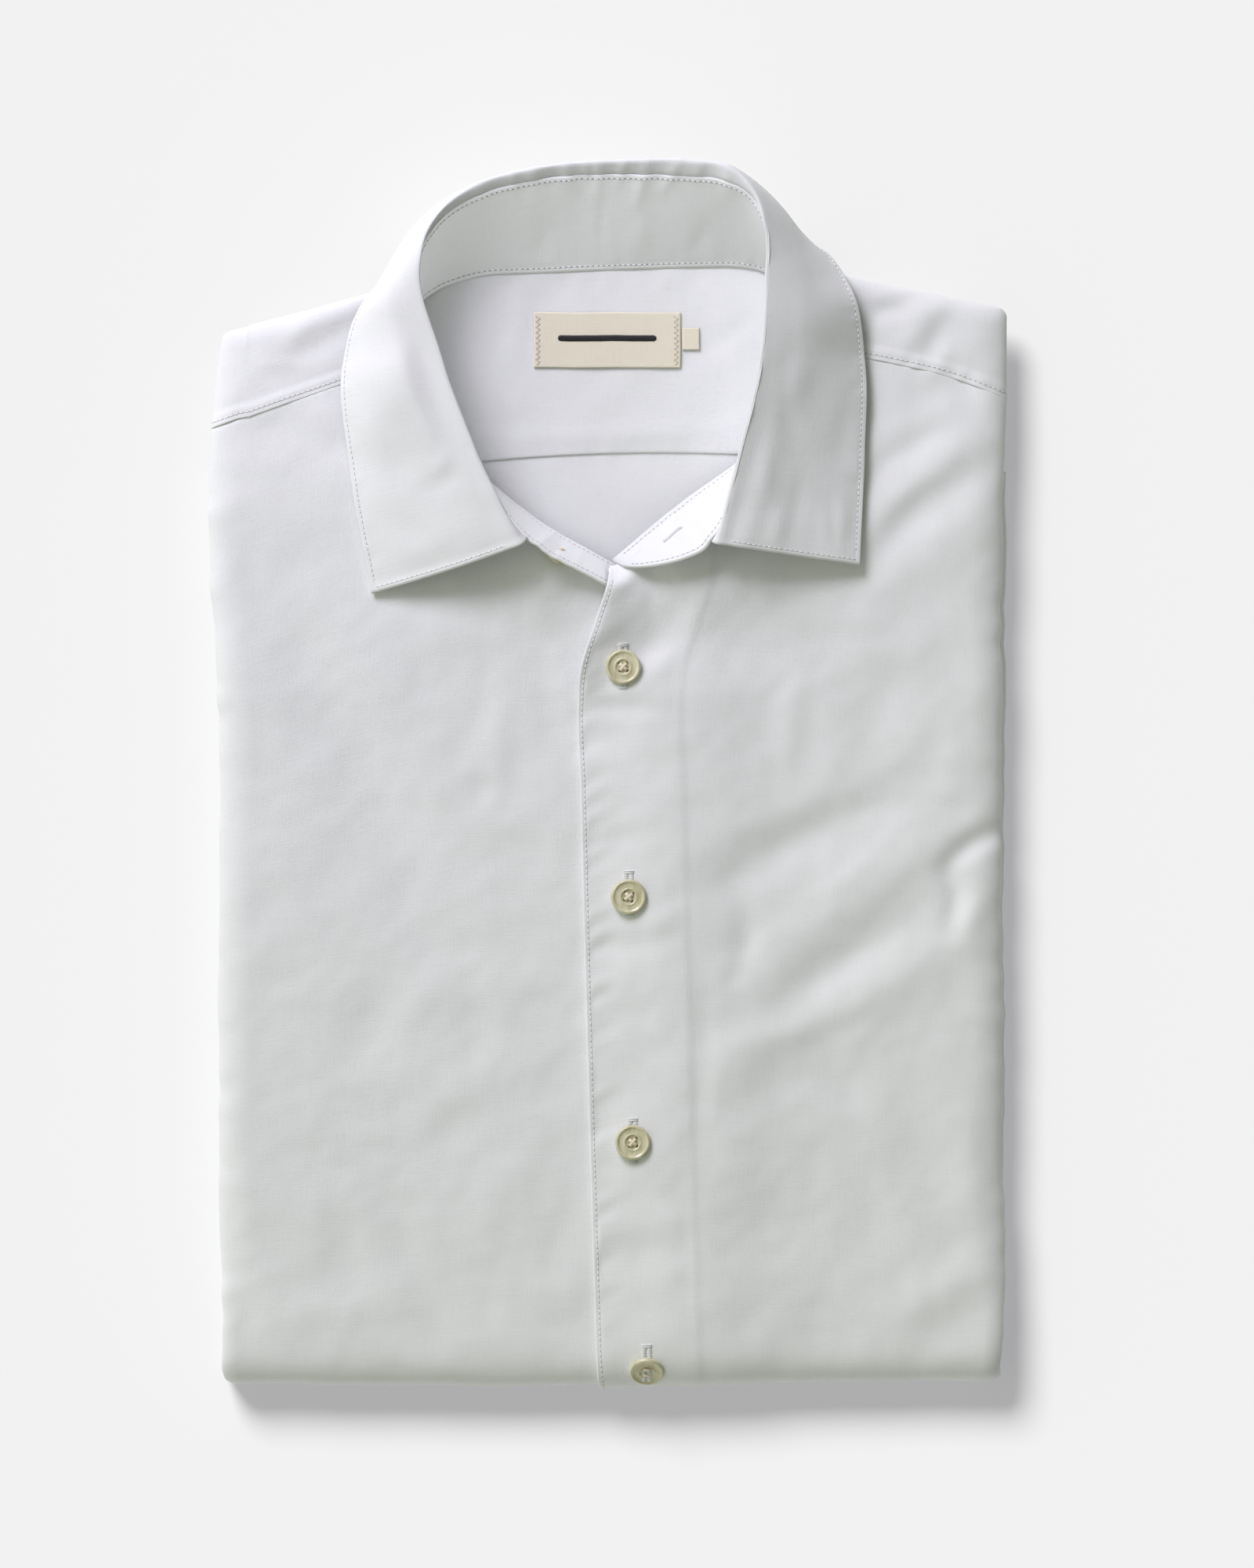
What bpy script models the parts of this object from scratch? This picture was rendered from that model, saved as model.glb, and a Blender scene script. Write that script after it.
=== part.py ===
"""A men's long-sleeved dress shirt, folded for the shelf and lying on its back.

The collar end points along +Y, the bottom fold along -Y and the buttoned front up, along +Z.
The origin is the middle of the footprint, on the surface that the shirt rests on.
Left and right in the names are the wearer's, so the left front is the one at +X, and it laps
over the right front. Lengths are millimetres; MM turns them into Blender's metres.

The folded shirt is two halves thick. The upper half is the chest; the tail is folded under it
at the bottom fold, and both halves have their sides rolled in, with the sleeves between them.
"""

import math
from collections import namedtuple

import bmesh
import bpy
import numpy as np
from mathutils import Matrix

MM = 0.001

# ---- Driving sizes -------------------------------------------------------------------------
STACK = 22.0  # height of the folded body
CLOTH = 1.0  # wall of a panel: shirting with its seam allowances
BAND_CLOTH = 1.1  # the interlined neckband and collar leaf
SEAM_GAP = 0.3  # between pieces that a seam joins
YOKE_GAP = 0.45  # the same along the curved yoke seam
HALF_GAP = 0.4  # between the rolled sides of the two halves
MIDDLE = STACK / 2
SHOULDER_DROP = 3.0  # the body is thinner by this at the shoulders
SIDE_ROLL = 11.0  # how far in from the side the chest starts to curve down
CORNER_ROLL = 6.0  # the same at the bottom fold, where the roll is pinched
PINCHED = 5.4  # thickness of a rolled side where it goes round the bottom fold
PINCH_LENGTH = 34.0  # over which the pinch opens out
SIDE_RETURN = 6.0  # flat cloth past the roll, between the two halves
FOLD_ROLL = 16.0  # how far in from the bottom fold the chest starts to curve down
SHOULDER_ROLL = 7.0
YOKE_RETURN = 12.0  # the yoke behind the shoulder fold, out at the sides
YOKE_BEHIND = 74.0  # half the width over which it runs on behind the neck
BUTTON_SIZE = 12.4
COLLAR_BUTTON_SIZE = 10.8
BUTTON_THICK = 2.3
BUTTON_PITCH = 82.0

# ---- The outline, seen from above ----------------------------------------------------------
Side = namedtuple("Side", "y right left lower_left")  # x of the fold at each side, by y
SIDES = [
    Side(180.0, -134.0, 139.6, 138.6),
    Side(153.0, -135.4, 139.6, 138.8),
    Side(128.0, -138.2, 139.5, 139.2),
    Side(100.0, -139.5, 138.4, 139.6),
    Side(70.0, -139.0, 137.8, 139.4),
    Side(15.0, -135.9, 137.6, 139.0),
    Side(-60.0, -136.0, 138.0, 138.8),
    Side(-120.0, -136.0, 137.8, 138.8),
    Side(-168.0, -135.4, 138.8, 139.0),
    Side(-215.0, -134.6, 137.8, 137.8),
]
End = namedtuple("End", "x fold")  # y of the bottom fold, by x
FOLD_LINE = [
    End(-140.0, -213.2),
    End(-8.0, -213.8),
    End(4.0, -213.5),
    End(60.0, -212.8),
    End(140.0, -212.1),
]
Shoulder = namedtuple("Shoulder", "x ridge seam")  # y of the shoulder fold and of the yoke seam
SHOULDERS = [
    Shoulder(-140.0, 153.4, 119.5),
    Shoulder(-105.0, 162.5, 132.0),
    Shoulder(-60.0, 174.2, 146.5),
    Shoulder(0.0, 177.5, 150.0),
    Shoulder(60.0, 178.7, 149.5),
    Shoulder(100.0, 170.7, 143.4),
    Shoulder(120.0, 166.7, 138.6),
    Shoulder(140.0, 162.7, 131.0),
]
Edge = namedtuple("Edge", "y x")  # the left front's free edge, from the neck down
FRONT_EDGE = [
    Edge(80.0, 0.6),
    Edge(69.0, 0.2),
    Edge(54.0, -4.3),
    Edge(38.0, -9.4),
    Edge(24.0, -10.6),
    Edge(-3.0, -9.8),
    Edge(-58.0, -8.4),
    Edge(-127.0, -6.5),
    Edge(-214.0, -3.8),
]
UNDER_EDGE_X = -2.0  # the same edge on the folded-under tail
BUTTON_STAND = 30.0  # the right front runs on under the left front by this much
FACING = 36.0  # width of the left front's turned-back facing
PLACKET_STEP = CLOTH + SEAM_GAP + 0.2
TAIL_HEM = 148.0  # y of the folded-under hem at the centre front
TAIL_CURVE = 42.0  # how much shorter the shirt tail is at the side seams
BUTTON_HOLLOW = 3.2  # the placket's channel underneath, which takes the lower buttons

# ---- Largest soft folds of the chest -------------------------------------------------------
Fold = namedtuple("Fold", "name x0 y0 x1 y1 bow spread rise")
FOLDS = [
    Fold("hollow under the chest", 107, -5, 41, -63, -8, 8, -2.3),
    Fold("long ridge", 118, -20, 51, -76, -4, 8, 1.9),
    Fold("short hollow", 114, -50, 58, -87, -4, 7, -1.7),
    Fold("ridge to the placket", 133, -46, 34, -106, 5, 9, 1.9),
    Fold("pinch in the side fold", 139, -14, 117, -42, -5, 6, -2.6),
    Fold("hollow at the collar point", 90, 70, 133, 109, 3, 7, -1.4),
    Fold("ridge at the collar point", 95, 50, 137, 90, 3, 9, 1.1),
    Fold("ridge above the fold", 75, -113, 111, -168, 0, 14, 1.2),
    Fold("streak at the side", 112, -181, 138, -167, 0, 8, 1.2),
    Fold("slack on the right chest", -112, 33, -59, -70, 4, 14, -1.0),
    Fold("slack by the placket", -44, 14, -52, -30, 3, 12, -0.9),
    Fold("swell above the fold", -95, -120, -40, -150, 6, 20, 0.9),
]

# ---- The collar ----------------------------------------------------------------------------
# A row for each station round the neck, from the right front to the left front. Points are
# the neckband's lower seam, its upper seam, the crest of the collar and the leaf's outer edge.
# belly is how far the leaf bulges off a straight line from crest to edge.
Station = namedtuple("Station", "name neck seam crest edge belly")
COLLAR = [
    Station("right front edge", (-24, 88.5, 16.8), (-27.5, 82.5, 36.5),
            (-29.5, 80.2, 38.8), (-82.4, 63.1, 23.6), 1.5),
    Station("right chest", (-50, 110, 17), (-44.3, 105.2, 37),
            (-42.5, 106, 40), (-88, 96.5, 23.4), 2.5),
    Station("right side", (-74, 140, 17), (-59.2, 143.8, 37.5),
            (-57.3, 144.2, 40.3), (-90.9, 142.9, 22.2), 3.5),
    Station("right shoulder", (-66, 165, 15.5), (-66.5, 177.5, 38),
            (-65.3, 178.6, 40.8), (-80.5, 169.5, 20.5), 5.0),
    Station("right back turn", (-59, 170, 14.2), (-62.5, 188, 37.5),
            (-62.8, 189.5, 40.2), (-70, 179, 9.5), 5.5),
    Station("right behind", (-52.4, 172.5, 13.7), (-56, 195.3, 36.2),
            (-57, 197.8, 39), (-60, 187, 3), 5.0),
    Station("right back", (-45, 174.4, 13.7), (-47, 201, 34.8),
            (-48.5, 204.2, 37.3), (-47, 191.5, 1.7), 5.0),
    Station("right of centre", (-23, 175.6, 13.7), (-23, 207.6, 33),
            (-24.1, 211.6, 35.5), (-24, 197.5, 1.5), 4.5),
    Station("centre back", (5, 176.8, 13.7), (6, 209.3, 32.3),
            (6.5, 214.1, 35), (5, 199.5, 1.5), 4.5),
    Station("left of centre", (28, 177.4, 13.7), (27, 208.5, 32.8),
            (28, 214.2, 35.5), (29, 197.5, 1.5), 4.5),
    Station("left back", (44, 177.6, 13.8), (42, 206.5, 34.8),
            (43.5, 211.3, 37.5), (48, 192.5, 1.7), 5.0),
    Station("left behind", (52.5, 176.5, 14), (49.6, 201.6, 36.3),
            (50.6, 203.6, 39), (61, 188, 3.2), 5.0),
    Station("left back turn", (60, 172.5, 15), (55.4, 190.5, 37),
            (54.6, 191, 40), (74.6, 183.4, 11), 5.0),
    Station("left shoulder", (70, 160, 16.5), (56.8, 172, 37.5),
            (54.8, 172, 40.3), (84.8, 169.5, 22.2), 5.0),
    Station("left side", (74, 138, 17), (54.7, 142.7, 37.5),
            (52.7, 142.9, 40.3), (90, 145, 22.8), 3.5),
    Station("left chest", (51, 113.5, 18.2), (47, 110.2, 36.5),
            (45.2, 111, 39.3), (89.6, 108.4, 23.8), 2.5),
    Station("left front edge", (25.2, 94.5, 18.5), (35.8, 81.5, 35.5),
            (37.3, 80.4, 38), (88.1, 73, 26.2), 1.5),
]
# The neckband runs on past the leaf: the right tab goes under the left front, and the left
# tab, which has the buttonhole, ends in a round.
Tab = namedtuple("Tab", "neck seam")
RIGHT_TAB = Tab((0.2, 74.9, 17.2), (-1.6, 67.2, 31.0))
LEFT_TAB = Tab((1.6, 75.2, 18.6), (11.0, 67.2, 36.0))
NECK_RIM = 17.0  # height of the chest panels at the neckline
FRONT_CLEAR = 2.6  # the fronts and the yoke are cut back this far from the neck seam
YOKE_CLEAR = 3.8
NECK_DIP = 17.0  # the panels start to dip to it this far out
NECK_BACK = 176.4  # y of the back neck edge
OPEN_BACK = 168.0  # behind this y the cut for the opening runs straight back
BEHIND_ALL, ABOVE_ALL = 205.0, 60.0
CREST_TUCK = 0.7  # the leaf starts this far past the band's upper seam

# ---- Inside of the neck opening ------------------------------------------------------------
YOKE_BACK = MIDDLE + HALF_GAP / 2  # outer face of the yoke where it passes under the neck
FACING_TOP = YOKE_BACK + 2 * CLOTH + SEAM_GAP
BACK_TOP = FACING_TOP - 0.8
YOKE_SEAM = 112.0  # y of the seam between the yoke and the back
BACK_FRONT = 73.0  # the back is shown from this y
WELL = 6.0  # the opening is wider than the neckline by this under the panels
WELL_WIDTH = 86.0  # half its width under the yoke
WELL_FLOOR = YOKE_BACK - SEAM_GAP
Patch = namedtuple("Patch", "x y width depth")
NECK_LABEL = Patch(-0.2, 152.0, 51.4, 19.4)
SIZE_TAB = Patch(29.0, 152.4, 6.0, 7.8)
LABEL_CLOTH = 0.8

# ---- Hidden layers -------------------------------------------------------------------------
Layer = namedtuple("Layer", "name thick set_back")  # upwards from the tail's outer panel
LOWER_LAYERS = [
    Layer("tail of the back", 2.0, 0.0),
    Layer("folded side and side seam", 2.1, 3.2),
    Layer("sleeve", 2.1, 1.0),
    Layer("sleeve end and cuff", 1.9, 4.0),
]
LIP = 1.6  # depth of the groove between two layers
BACK_INSET = 6.0  # the lower layers stop this far inside the shoulder fold
LAYER_SAG = 2.2  # the layers lie this far inside the rolled sides
TOP_SAG = 1.8  # and this far under the chest
WEB = SIDE_ROLL + SIDE_RETURN + 1.5  # inset of the narrow part between the two halves' sides
WEB_BACK = 24.0  # its inset from the shoulder fold
PINCH_END = (50.0, 70.0)  # the layers widen again this far above the bottom fold
CORNER_CUT = 7.0
CORE_CLEAR = CLOTH + 0.4

# ---- Materials -----------------------------------------------------------------------------
Finish = namedtuple("Finish", "colour roughness")
SHIRTING = Finish((0.83, 0.85, 0.86, 1), 0.85)
LABEL_COTTON = Finish((0.86, 0.79, 0.68, 1), 0.9)
SHELL = Finish((0.80, 0.77, 0.62, 1), 0.3)


def smooth(start, end, value):
    """0 before start, 1 after end, and an S-curve between them."""
    t = np.clip((np.asarray(value, float) - start) / (end - start), 0.0, 1.0)
    return t * t * (3 - 2 * t)


def along(knots, values, at):
    """A smooth curve through values at the knots, read at the places at."""
    knots, values = np.asarray(knots, float), np.asarray(values, float)
    slopes = np.gradient(values, knots, axis=0)
    at = np.clip(np.asarray(at, float), knots[0], knots[-1])
    i = np.clip(np.searchsorted(knots, at, side="right") - 1, 0, len(knots) - 2)
    step = knots[i + 1] - knots[i]
    t = (at - knots[i]) / step
    if values.ndim > 1:
        step, t = step[..., None], t[..., None]
    return (
        values[i] * (1 + 2 * t) * (1 - t) ** 2
        + values[i + 1] * t**2 * (3 - 2 * t)
        + step * (slopes[i] * t * (1 - t) ** 2 - slopes[i + 1] * t**2 * (1 - t))
    )


def column(rows, knot, value, at):
    """Reads one named column of a table against another, smoothly."""
    pairs = sorted((getattr(r, knot), getattr(r, value)) for r in rows)
    return along([p[0] for p in pairs], [p[1] for p in pairs], at)


# ---- The neckline and the chest surface ----------------------------------------------------


LEAF_STATIONS = 43
TAB_STATIONS = 5
TAB_REACH = ((26, -13, 0), (-24, -20, 0))  # from the crest's ends to above the tabs' ends


def collar_curve(name, tabs=False):
    """One of the collar's curves as points, at the same stations for every curve."""
    crest = np.array([s.crest for s in COLLAR], float)
    points = [getattr(s, name) for s in COLLAR]
    if name in ("neck", "seam"):
        points = [getattr(RIGHT_TAB, name), *points, getattr(LEFT_TAB, name)]
        crest = np.vstack([crest[0] + TAB_REACH[0], crest, crest[-1] + TAB_REACH[1]])
    length = np.concatenate([[0], np.cumsum(np.linalg.norm(np.diff(crest, axis=0), axis=1))])
    if name not in ("neck", "seam"):
        return along(length, points, np.linspace(0, length[-1], LEAF_STATIONS))
    at = np.linspace(length[1], length[-2], LEAF_STATIONS)
    if tabs:
        before = np.linspace(0, length[1], TAB_STATIONS + 1)[:-1]
        after = np.linspace(length[-2], length[-1], TAB_STATIONS + 1)[1:]
        at = np.concatenate([before, at, after])
    return along(length, points, at)


def neckline(outwards):
    """The neck seam in plan, moved outwards, with the back of the neck left open to +Y."""
    ring = collar_curve("neck", tabs=True)[:, :2]
    tangent = np.gradient(ring, axis=0)
    tangent /= np.linalg.norm(tangent, axis=1)[:, None]
    return ring + outwards * np.stack([-tangent[:, 1], tangent[:, 0]], axis=1)


NECK_RING = neckline(0.0)


def opening(outwards, widest=0.0):
    """Plan outline for cutting the neck opening, which stays open behind the back of the neck."""
    ring = neckline(outwards)
    wide = ring[:, 1] > YOKE_SEAM - 6
    ring[wide, 0] = np.sign(ring[wide, 0]) * np.maximum(np.abs(ring[wide, 0]), widest)
    right = sorted((p for p in ring if p[0] < 0 and p[1] < OPEN_BACK), key=lambda p: p[1])
    left = sorted((p for p in ring if p[0] > 0 and p[1] < OPEN_BACK), key=lambda p: -p[1])
    return [*right, (right[-1][0], BEHIND_ALL), (left[0][0], BEHIND_ALL), *left]


def fold_relief(x, y):
    """Height that the soft folds add at each point of the chest."""
    total = np.zeros(np.broadcast(x, y).shape)
    steps = np.linspace(0, 1, 15)
    for f in FOLDS:
        ax, ay = f.x1 - f.x0, f.y1 - f.y0
        length = math.hypot(ax, ay)
        arch = 4 * steps * (1 - steps) * f.bow
        line_x = f.x0 + ax * steps - ay / length * arch
        line_y = f.y0 + ay * steps + ax / length * arch
        apart = np.hypot(x[..., None] - line_x, y[..., None] - line_y)
        nearest = apart.argmin(axis=-1)
        fade = np.sin(np.pi * (0.12 + 0.76 * steps[nearest]))
        total = total + f.rise * fade * np.exp(-((apart.min(axis=-1) / f.spread) ** 2))
    return total


def body_height(y):
    return STACK - SHOULDER_DROP * smooth(85, 165, y)


def chest(x, y):
    """Height of the panels' upper face: the body, its dip to the neckline, and its folds."""
    x, y = np.broadcast_arrays(np.asarray(x, float), np.asarray(y, float))
    out = np.hypot(x[..., None] - NECK_RING[:, 0], y[..., None] - NECK_RING[:, 1]).min(axis=-1)
    rim = NECK_RIM - 1.8 * smooth(140, 175, y)
    dip = (body_height(y) - rim) * np.exp(-((out / NECK_DIP) ** 2))
    return body_height(y) - dip + fold_relief(x, y)


# ---- Mesh builders -------------------------------------------------------------------------


def material(name, finish):
    made = bpy.data.materials.new(name)
    made.use_nodes = True
    shader = made.node_tree.nodes["Principled BSDF"]
    shader.inputs["Base Color"].default_value = finish.colour
    shader.inputs["Roughness"].default_value = finish.roughness
    shader.inputs["Metallic"].default_value = 0.0
    return made


def add_object(name, mesh, finish):
    obj = bpy.data.objects.new(name, mesh)
    bpy.context.collection.objects.link(obj)
    mesh.materials.append(finish)
    return obj


def add_cutter(name, outline, low, high):
    """A prism over a plan outline, for cutting only."""
    bm = bmesh.new()
    rim = [bm.verts.new((x * MM, y * MM, low * MM)) for x, y in outline]
    floor = bm.faces.new(rim)
    top = bmesh.ops.extrude_face_region(bm, geom=[floor])["geom"]
    bmesh.ops.translate(
        bm, verts=[v for v in top if isinstance(v, bmesh.types.BMVert)], vec=(0, 0, (high - low) * MM)
    )
    bmesh.ops.recalc_face_normals(bm, faces=bm.faces)
    mesh = bpy.data.meshes.new(name)
    bm.to_mesh(mesh)
    bm.free()
    obj = bpy.data.objects.new(name, mesh)
    bpy.context.collection.objects.link(obj)
    obj.hide_render = True
    obj.display_type = "WIRE"
    return obj


def cut(obj, cutter):
    boolean = obj.modifiers.new("cut " + cutter.name, "BOOLEAN")
    boolean.operation = "DIFFERENCE"
    boolean.solver = "EXACT"
    boolean.object = cutter


def wall(name, grid, finish, thick=CLOTH, keep=None):
    """A cloth wall from a grid of points on its outer face, with the thickness behind it."""
    rows, cols = grid.shape[:2]
    bm = bmesh.new()
    verts = [[bm.verts.new(grid[r, c] * MM) for c in range(cols)] for r in range(rows)]
    for r in range(rows - 1):
        for c in range(cols - 1):
            if keep is None or keep[r, c]:
                bm.faces.new((verts[r][c], verts[r][c + 1], verts[r + 1][c + 1], verts[r + 1][c]))
    bmesh.ops.delete(bm, geom=[v for v in bm.verts if not v.link_faces], context="VERTS")
    mesh = bpy.data.meshes.new(name)
    bm.to_mesh(mesh)
    bm.free()
    mesh.shade_smooth()
    obj = add_object(name, mesh, finish)
    solid = obj.modifiers.new("cloth", "SOLIDIFY")
    solid.thickness = thick * MM
    solid.offset = -1
    return obj


# ---- The two fronts ------------------------------------------------------------------------
CHEST_ROWS = 31
FOLD_STEPS = 7
TAIL_STEPS = (0.0, 0.03, 0.065, 0.115, 0.4, 0.7, 1.0)
ROLL_STEPS = 6


def fold_path(top_x, fold_x):
    """Stations down a front: (y, height, inward normal y, inward normal z, share under)."""
    seam = column(SHOULDERS, "x", "seam", top_x) - YOKE_GAP
    end = column(FOLD_LINE, "x", "fold", fold_x) + FOLD_ROLL
    lower_hem = TAIL_HEM - TAIL_CURVE * smooth(20, 140, abs(fold_x))
    rows = []
    for t in np.linspace(0, 1, CHEST_ROWS):
        rows.append((seam + (end - seam) * t, STACK, 0.0, -1.0, 0.0))
    for angle in np.linspace(0, math.pi, FOLD_STEPS + 2)[1:-1]:
        across, up = math.sin(angle) / FOLD_ROLL, -math.cos(angle) / MIDDLE
        size = math.hypot(across, up)
        rows.append((
            end - FOLD_ROLL * math.sin(angle),
            MIDDLE * (1 + math.cos(angle)),
            across / size,
            up / size,
            (1 - math.cos(angle)) / 2,
        ))
    for t in TAIL_STEPS:
        rows.append((end + (lower_hem - end) * t, 0.0, 0.0, 1.0, 1.0))
    return rows


def placket_depth(side, under, y):
    """How deep a front lies along the placket: the left laps over the right by a step."""
    sunk = PLACKET_STEP * smooth(0.35, 0.95, under)
    if under == 1.0:
        sunk += BUTTON_HOLLOW * smooth(-196, -175, y)
    return sunk - PLACKET_STEP if side > 0 else sunk


def front_x(side, y, under, share, turn, inward):
    """x of one column: its share of the flat, then its turn round the side and its way back."""
    upper = column(SIDES, "y", "left" if side > 0 else "right", y)
    lower = column(SIDES, "y", "lower_left" if side > 0 else "right", y)
    edge = upper + (lower - upper) * under
    free = column(FRONT_EDGE, "y", "x", y)
    free = free + (UNDER_EDGE_X - free) * under
    loose = looseness(y, under)
    roll = CORNER_ROLL + (SIDE_ROLL - CORNER_ROLL) * loose
    start = free if side > 0 else free + BUTTON_STAND
    if share < 1:
        return start + (edge - side * roll - start) * share, free
    return edge - side * (roll * (1 - math.sin(turn)) + inward), free


def looseness(y, under):
    """1 where the side roll is full, and 0 where it is pinched round the bottom fold."""
    if under not in (0.0, 1.0):
        return 0.0
    return float(smooth(FOLD_ROLL, FOLD_ROLL + PINCH_LENGTH, y - FOLD_LINE[0].fold))


def front_grid(side):
    """The outer face of one front. side is -1 for the wearer's right and 1 for the left."""
    columns = [(t, 0.0, 0.0) for t in np.linspace(0, 1, 15 if side < 0 else 14)[:-1]]
    columns += [(1.0, t, 0.0) for t in np.linspace(0, math.pi, ROLL_STEPS + 1)]
    columns += [(1.0, math.pi, SIDE_RETURN)]
    grid = np.zeros((CHEST_ROWS + FOLD_STEPS + len(TAIL_STEPS), len(columns), 3))
    for c, (share, turn, inward) in enumerate(columns):
        top_x, _ = front_x(side, 140.0, 0.0, share, turn, inward)
        top_x, _ = front_x(side, column(SHOULDERS, "x", "seam", top_x), 0.0, share, turn, inward)
        fold_x, _ = front_x(side, FOLD_LINE[1].fold, 0.5, share, turn, inward)
        for r, (y, height, in_y, in_z, under) in enumerate(fold_path(top_x, fold_x)):
            x, free = front_x(side, y, under, share, turn, inward)
            thick = (body_height(y) if under == 0 else STACK) - MIDDLE - HALF_GAP / 2
            thick = PINCHED + (thick - PINCHED) * looseness(y, under)
            depth = thick / 2 * (1 - math.cos(turn))
            hold = (1 + math.cos(turn)) / 2
            if under == 0:
                depth += STACK - body_height(y) - (chest(x, y) - body_height(y)) * hold
            lap = placket_depth(side, under, y)
            if side > 0:
                depth += lap * (1 - smooth(free + FACING - 2, free + FACING + 8, x)) * hold
            else:
                depth += lap * smooth(free - 12, free - 2, x)
            grid[r, c] = (x, y + depth * in_y, height + depth * in_z)
    return grid if side < 0 else grid[:, ::-1]


def add_front(name, side, finish, neck_cutter):
    obj = wall(name, front_grid(side), finish)
    cut(obj, neck_cutter)
    return obj


# ---- Yoke and back -------------------------------------------------------------------------


def add_yoke(finish, neck_cutter):
    """The outer yoke: over both shoulders and behind the neck, in one piece."""
    turns = np.linspace(math.pi, 0, ROLL_STEPS + 1)
    flats = np.linspace(0, 1, 27)
    ridge_turns = np.linspace(0, math.pi, 7)[1:]
    behind = [YOKE_RETURN * 0.5, YOKE_RETURN, 28.0, 44.0, None]  # the last is at the yoke seam
    columns = [("right return", math.pi, SIDE_RETURN)]
    columns += [("right roll", t, 0.0) for t in turns[:-1]]
    columns += [("flat", 0.0, f) for f in flats]
    columns += [("left roll", t, 0.0) for t in turns[::-1][1:]]
    columns += [("left return", math.pi, SIDE_RETURN)]
    rows = [("top", t) for t in np.linspace(0, 1, 4)]
    rows += [("ridge", t) for t in ridge_turns] + [("behind", b) for b in behind]
    grid = np.zeros((len(rows), len(columns), 3))
    keep = np.ones((len(rows) - 1, len(columns) - 1), bool)
    for c, (place, turn, value) in enumerate(columns):
        side = -1 if place.startswith("right") else 1
        for r, (stretch, at) in enumerate(rows):
            ends = [column(SIDES, "y", s, 145.0) for s in ("right", "left")]
            if place == "flat":
                x = ends[0] + SIDE_ROLL + (ends[1] - ends[0] - 2 * SIDE_ROLL) * value
            else:
                x = ends[(side + 1) // 2] - side * (SIDE_ROLL * (1 - math.sin(turn)) + value)
            ridge = column(SHOULDERS, "x", "ridge", x)
            seam = column(SHOULDERS, "x", "seam", x)
            turned = at if stretch == "ridge" else (0.0 if stretch == "top" else math.pi)
            y = ridge - SHOULDER_ROLL * (1 - math.sin(turned))
            if stretch == "top":
                y = seam + (y - seam) * at
            if stretch == "behind":
                y = YOKE_SEAM if at is None else ridge - SHOULDER_ROLL - at
            if place != "flat":
                x += column(SIDES, "y", "left" if side > 0 else "right", y) - ends[(side + 1) // 2]
            thick = body_height(y) - YOKE_BACK
            drop = thick / 2 * (1 - math.cos(turn) * math.cos(turned))
            hold = (1 + math.cos(turn)) / 2 * (1 + math.cos(turned)) / 2
            z = body_height(y) - drop + (chest(x, y) - body_height(y)) * hold
            grid[r, c] = (x, y, max(z, YOKE_BACK) if stretch == "behind" else z)
            if r < len(rows) - 1 and c < len(columns) - 1:
                beyond = max(turn, columns[c + 1][1])
                if rows[r + 1][0] != "top" and beyond > math.pi / 2 + 0.01:
                    keep[r, c] = False
                if turned > math.pi * 0.49 and beyond > 0.01:
                    keep[r, c] = False
                if stretch == "behind" and at != behind[0] and abs(x) > YOKE_BEHIND:
                    keep[r, c] = False
    obj = wall("yoke", grid, finish, keep=keep)
    cut(obj, neck_cutter)
    return obj


def well_span(y):
    """The two sides of the well under the neck opening, at one y."""
    ring = neckline(WELL - 2.5)
    ends = np.roll(ring, -1, axis=0)
    crossing = (ring[:, 1] - y) * (ends[:, 1] - y) < 0
    a, b = ring[crossing], ends[crossing]
    x = a[:, 0] + (b[:, 0] - a[:, 0]) * (y - a[:, 1]) / (b[:, 1] - a[:, 1])
    return (x.min(), x.max()) if len(x) > 1 else (-1.0, 1.0)


def lying_panel(name, low_y, high_y, top, finish):
    """A panel that lies under the neck opening, as wide as the well allows."""
    behind = NECK_RING[(NECK_RING[:, 1] > 158)]
    grid = np.zeros((9, 13, 3))
    for r, t in enumerate(np.linspace(0, 1, 9)):
        y = low_y + (high_y - low_y) * t
        right, left = well_span(min(y, 158.0))
        for c, s in enumerate(np.linspace(0, 1, 13)):
            x = right + (left - right) * s
            back = np.interp(x, behind[:, 0], behind[:, 1]) - 0.8
            grid[r, c] = (x, y if high_y < 150 else low_y + (back - low_y) * t, top)
    return wall(name, grid, finish)


# ---- Collar --------------------------------------------------------------------------------
def add_band(finish):
    """The neckband, from the neck seam up to the leaf, with a tab at each end."""
    neck, seam = collar_curve("neck", tabs=True), collar_curve("seam", tabs=True)
    last = len(neck) - 1
    grid = np.zeros((5, last + 1, 3))
    for c in range(last + 1):
        past = max(0.0, (c - last + TAB_STATIONS) / TAB_STATIONS)
        rise = (seam[c] - neck[c]) * max(0.06, (1 - past**2.3) ** (1 / 2.3))
        for r, t in enumerate(np.linspace(0, 1, 5)):
            grid[r, c] = neck[c] + rise * t
    return wall("collar_band", grid, finish, BAND_CLOTH)


def leaf_section(seam, crest, edge, belly):
    """Points of one section of the leaf, from the band over the crest to the outer edge."""
    run = edge - crest
    over = (crest - seam) - run * ((crest - seam) @ run) / (run @ run)
    over /= np.linalg.norm(over)
    start = seam + (crest - seam) / np.linalg.norm(crest - seam) * CREST_TUCK
    knots = [
        start,
        crest,
        crest + run * 0.10 + over * belly * 0.45,
        crest + run * 0.35 + over * belly,
        crest + run * 0.70 + over * belly * 0.8,
        edge,
    ]
    at = np.concatenate([[0], np.cumsum(np.linalg.norm(np.diff(knots, axis=0), axis=1))])
    return along(at, knots, [0, at[1] * 0.5, at[1], (at[1] + at[2]) / 2, at[2], at[3], at[4], at[5]])


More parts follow.
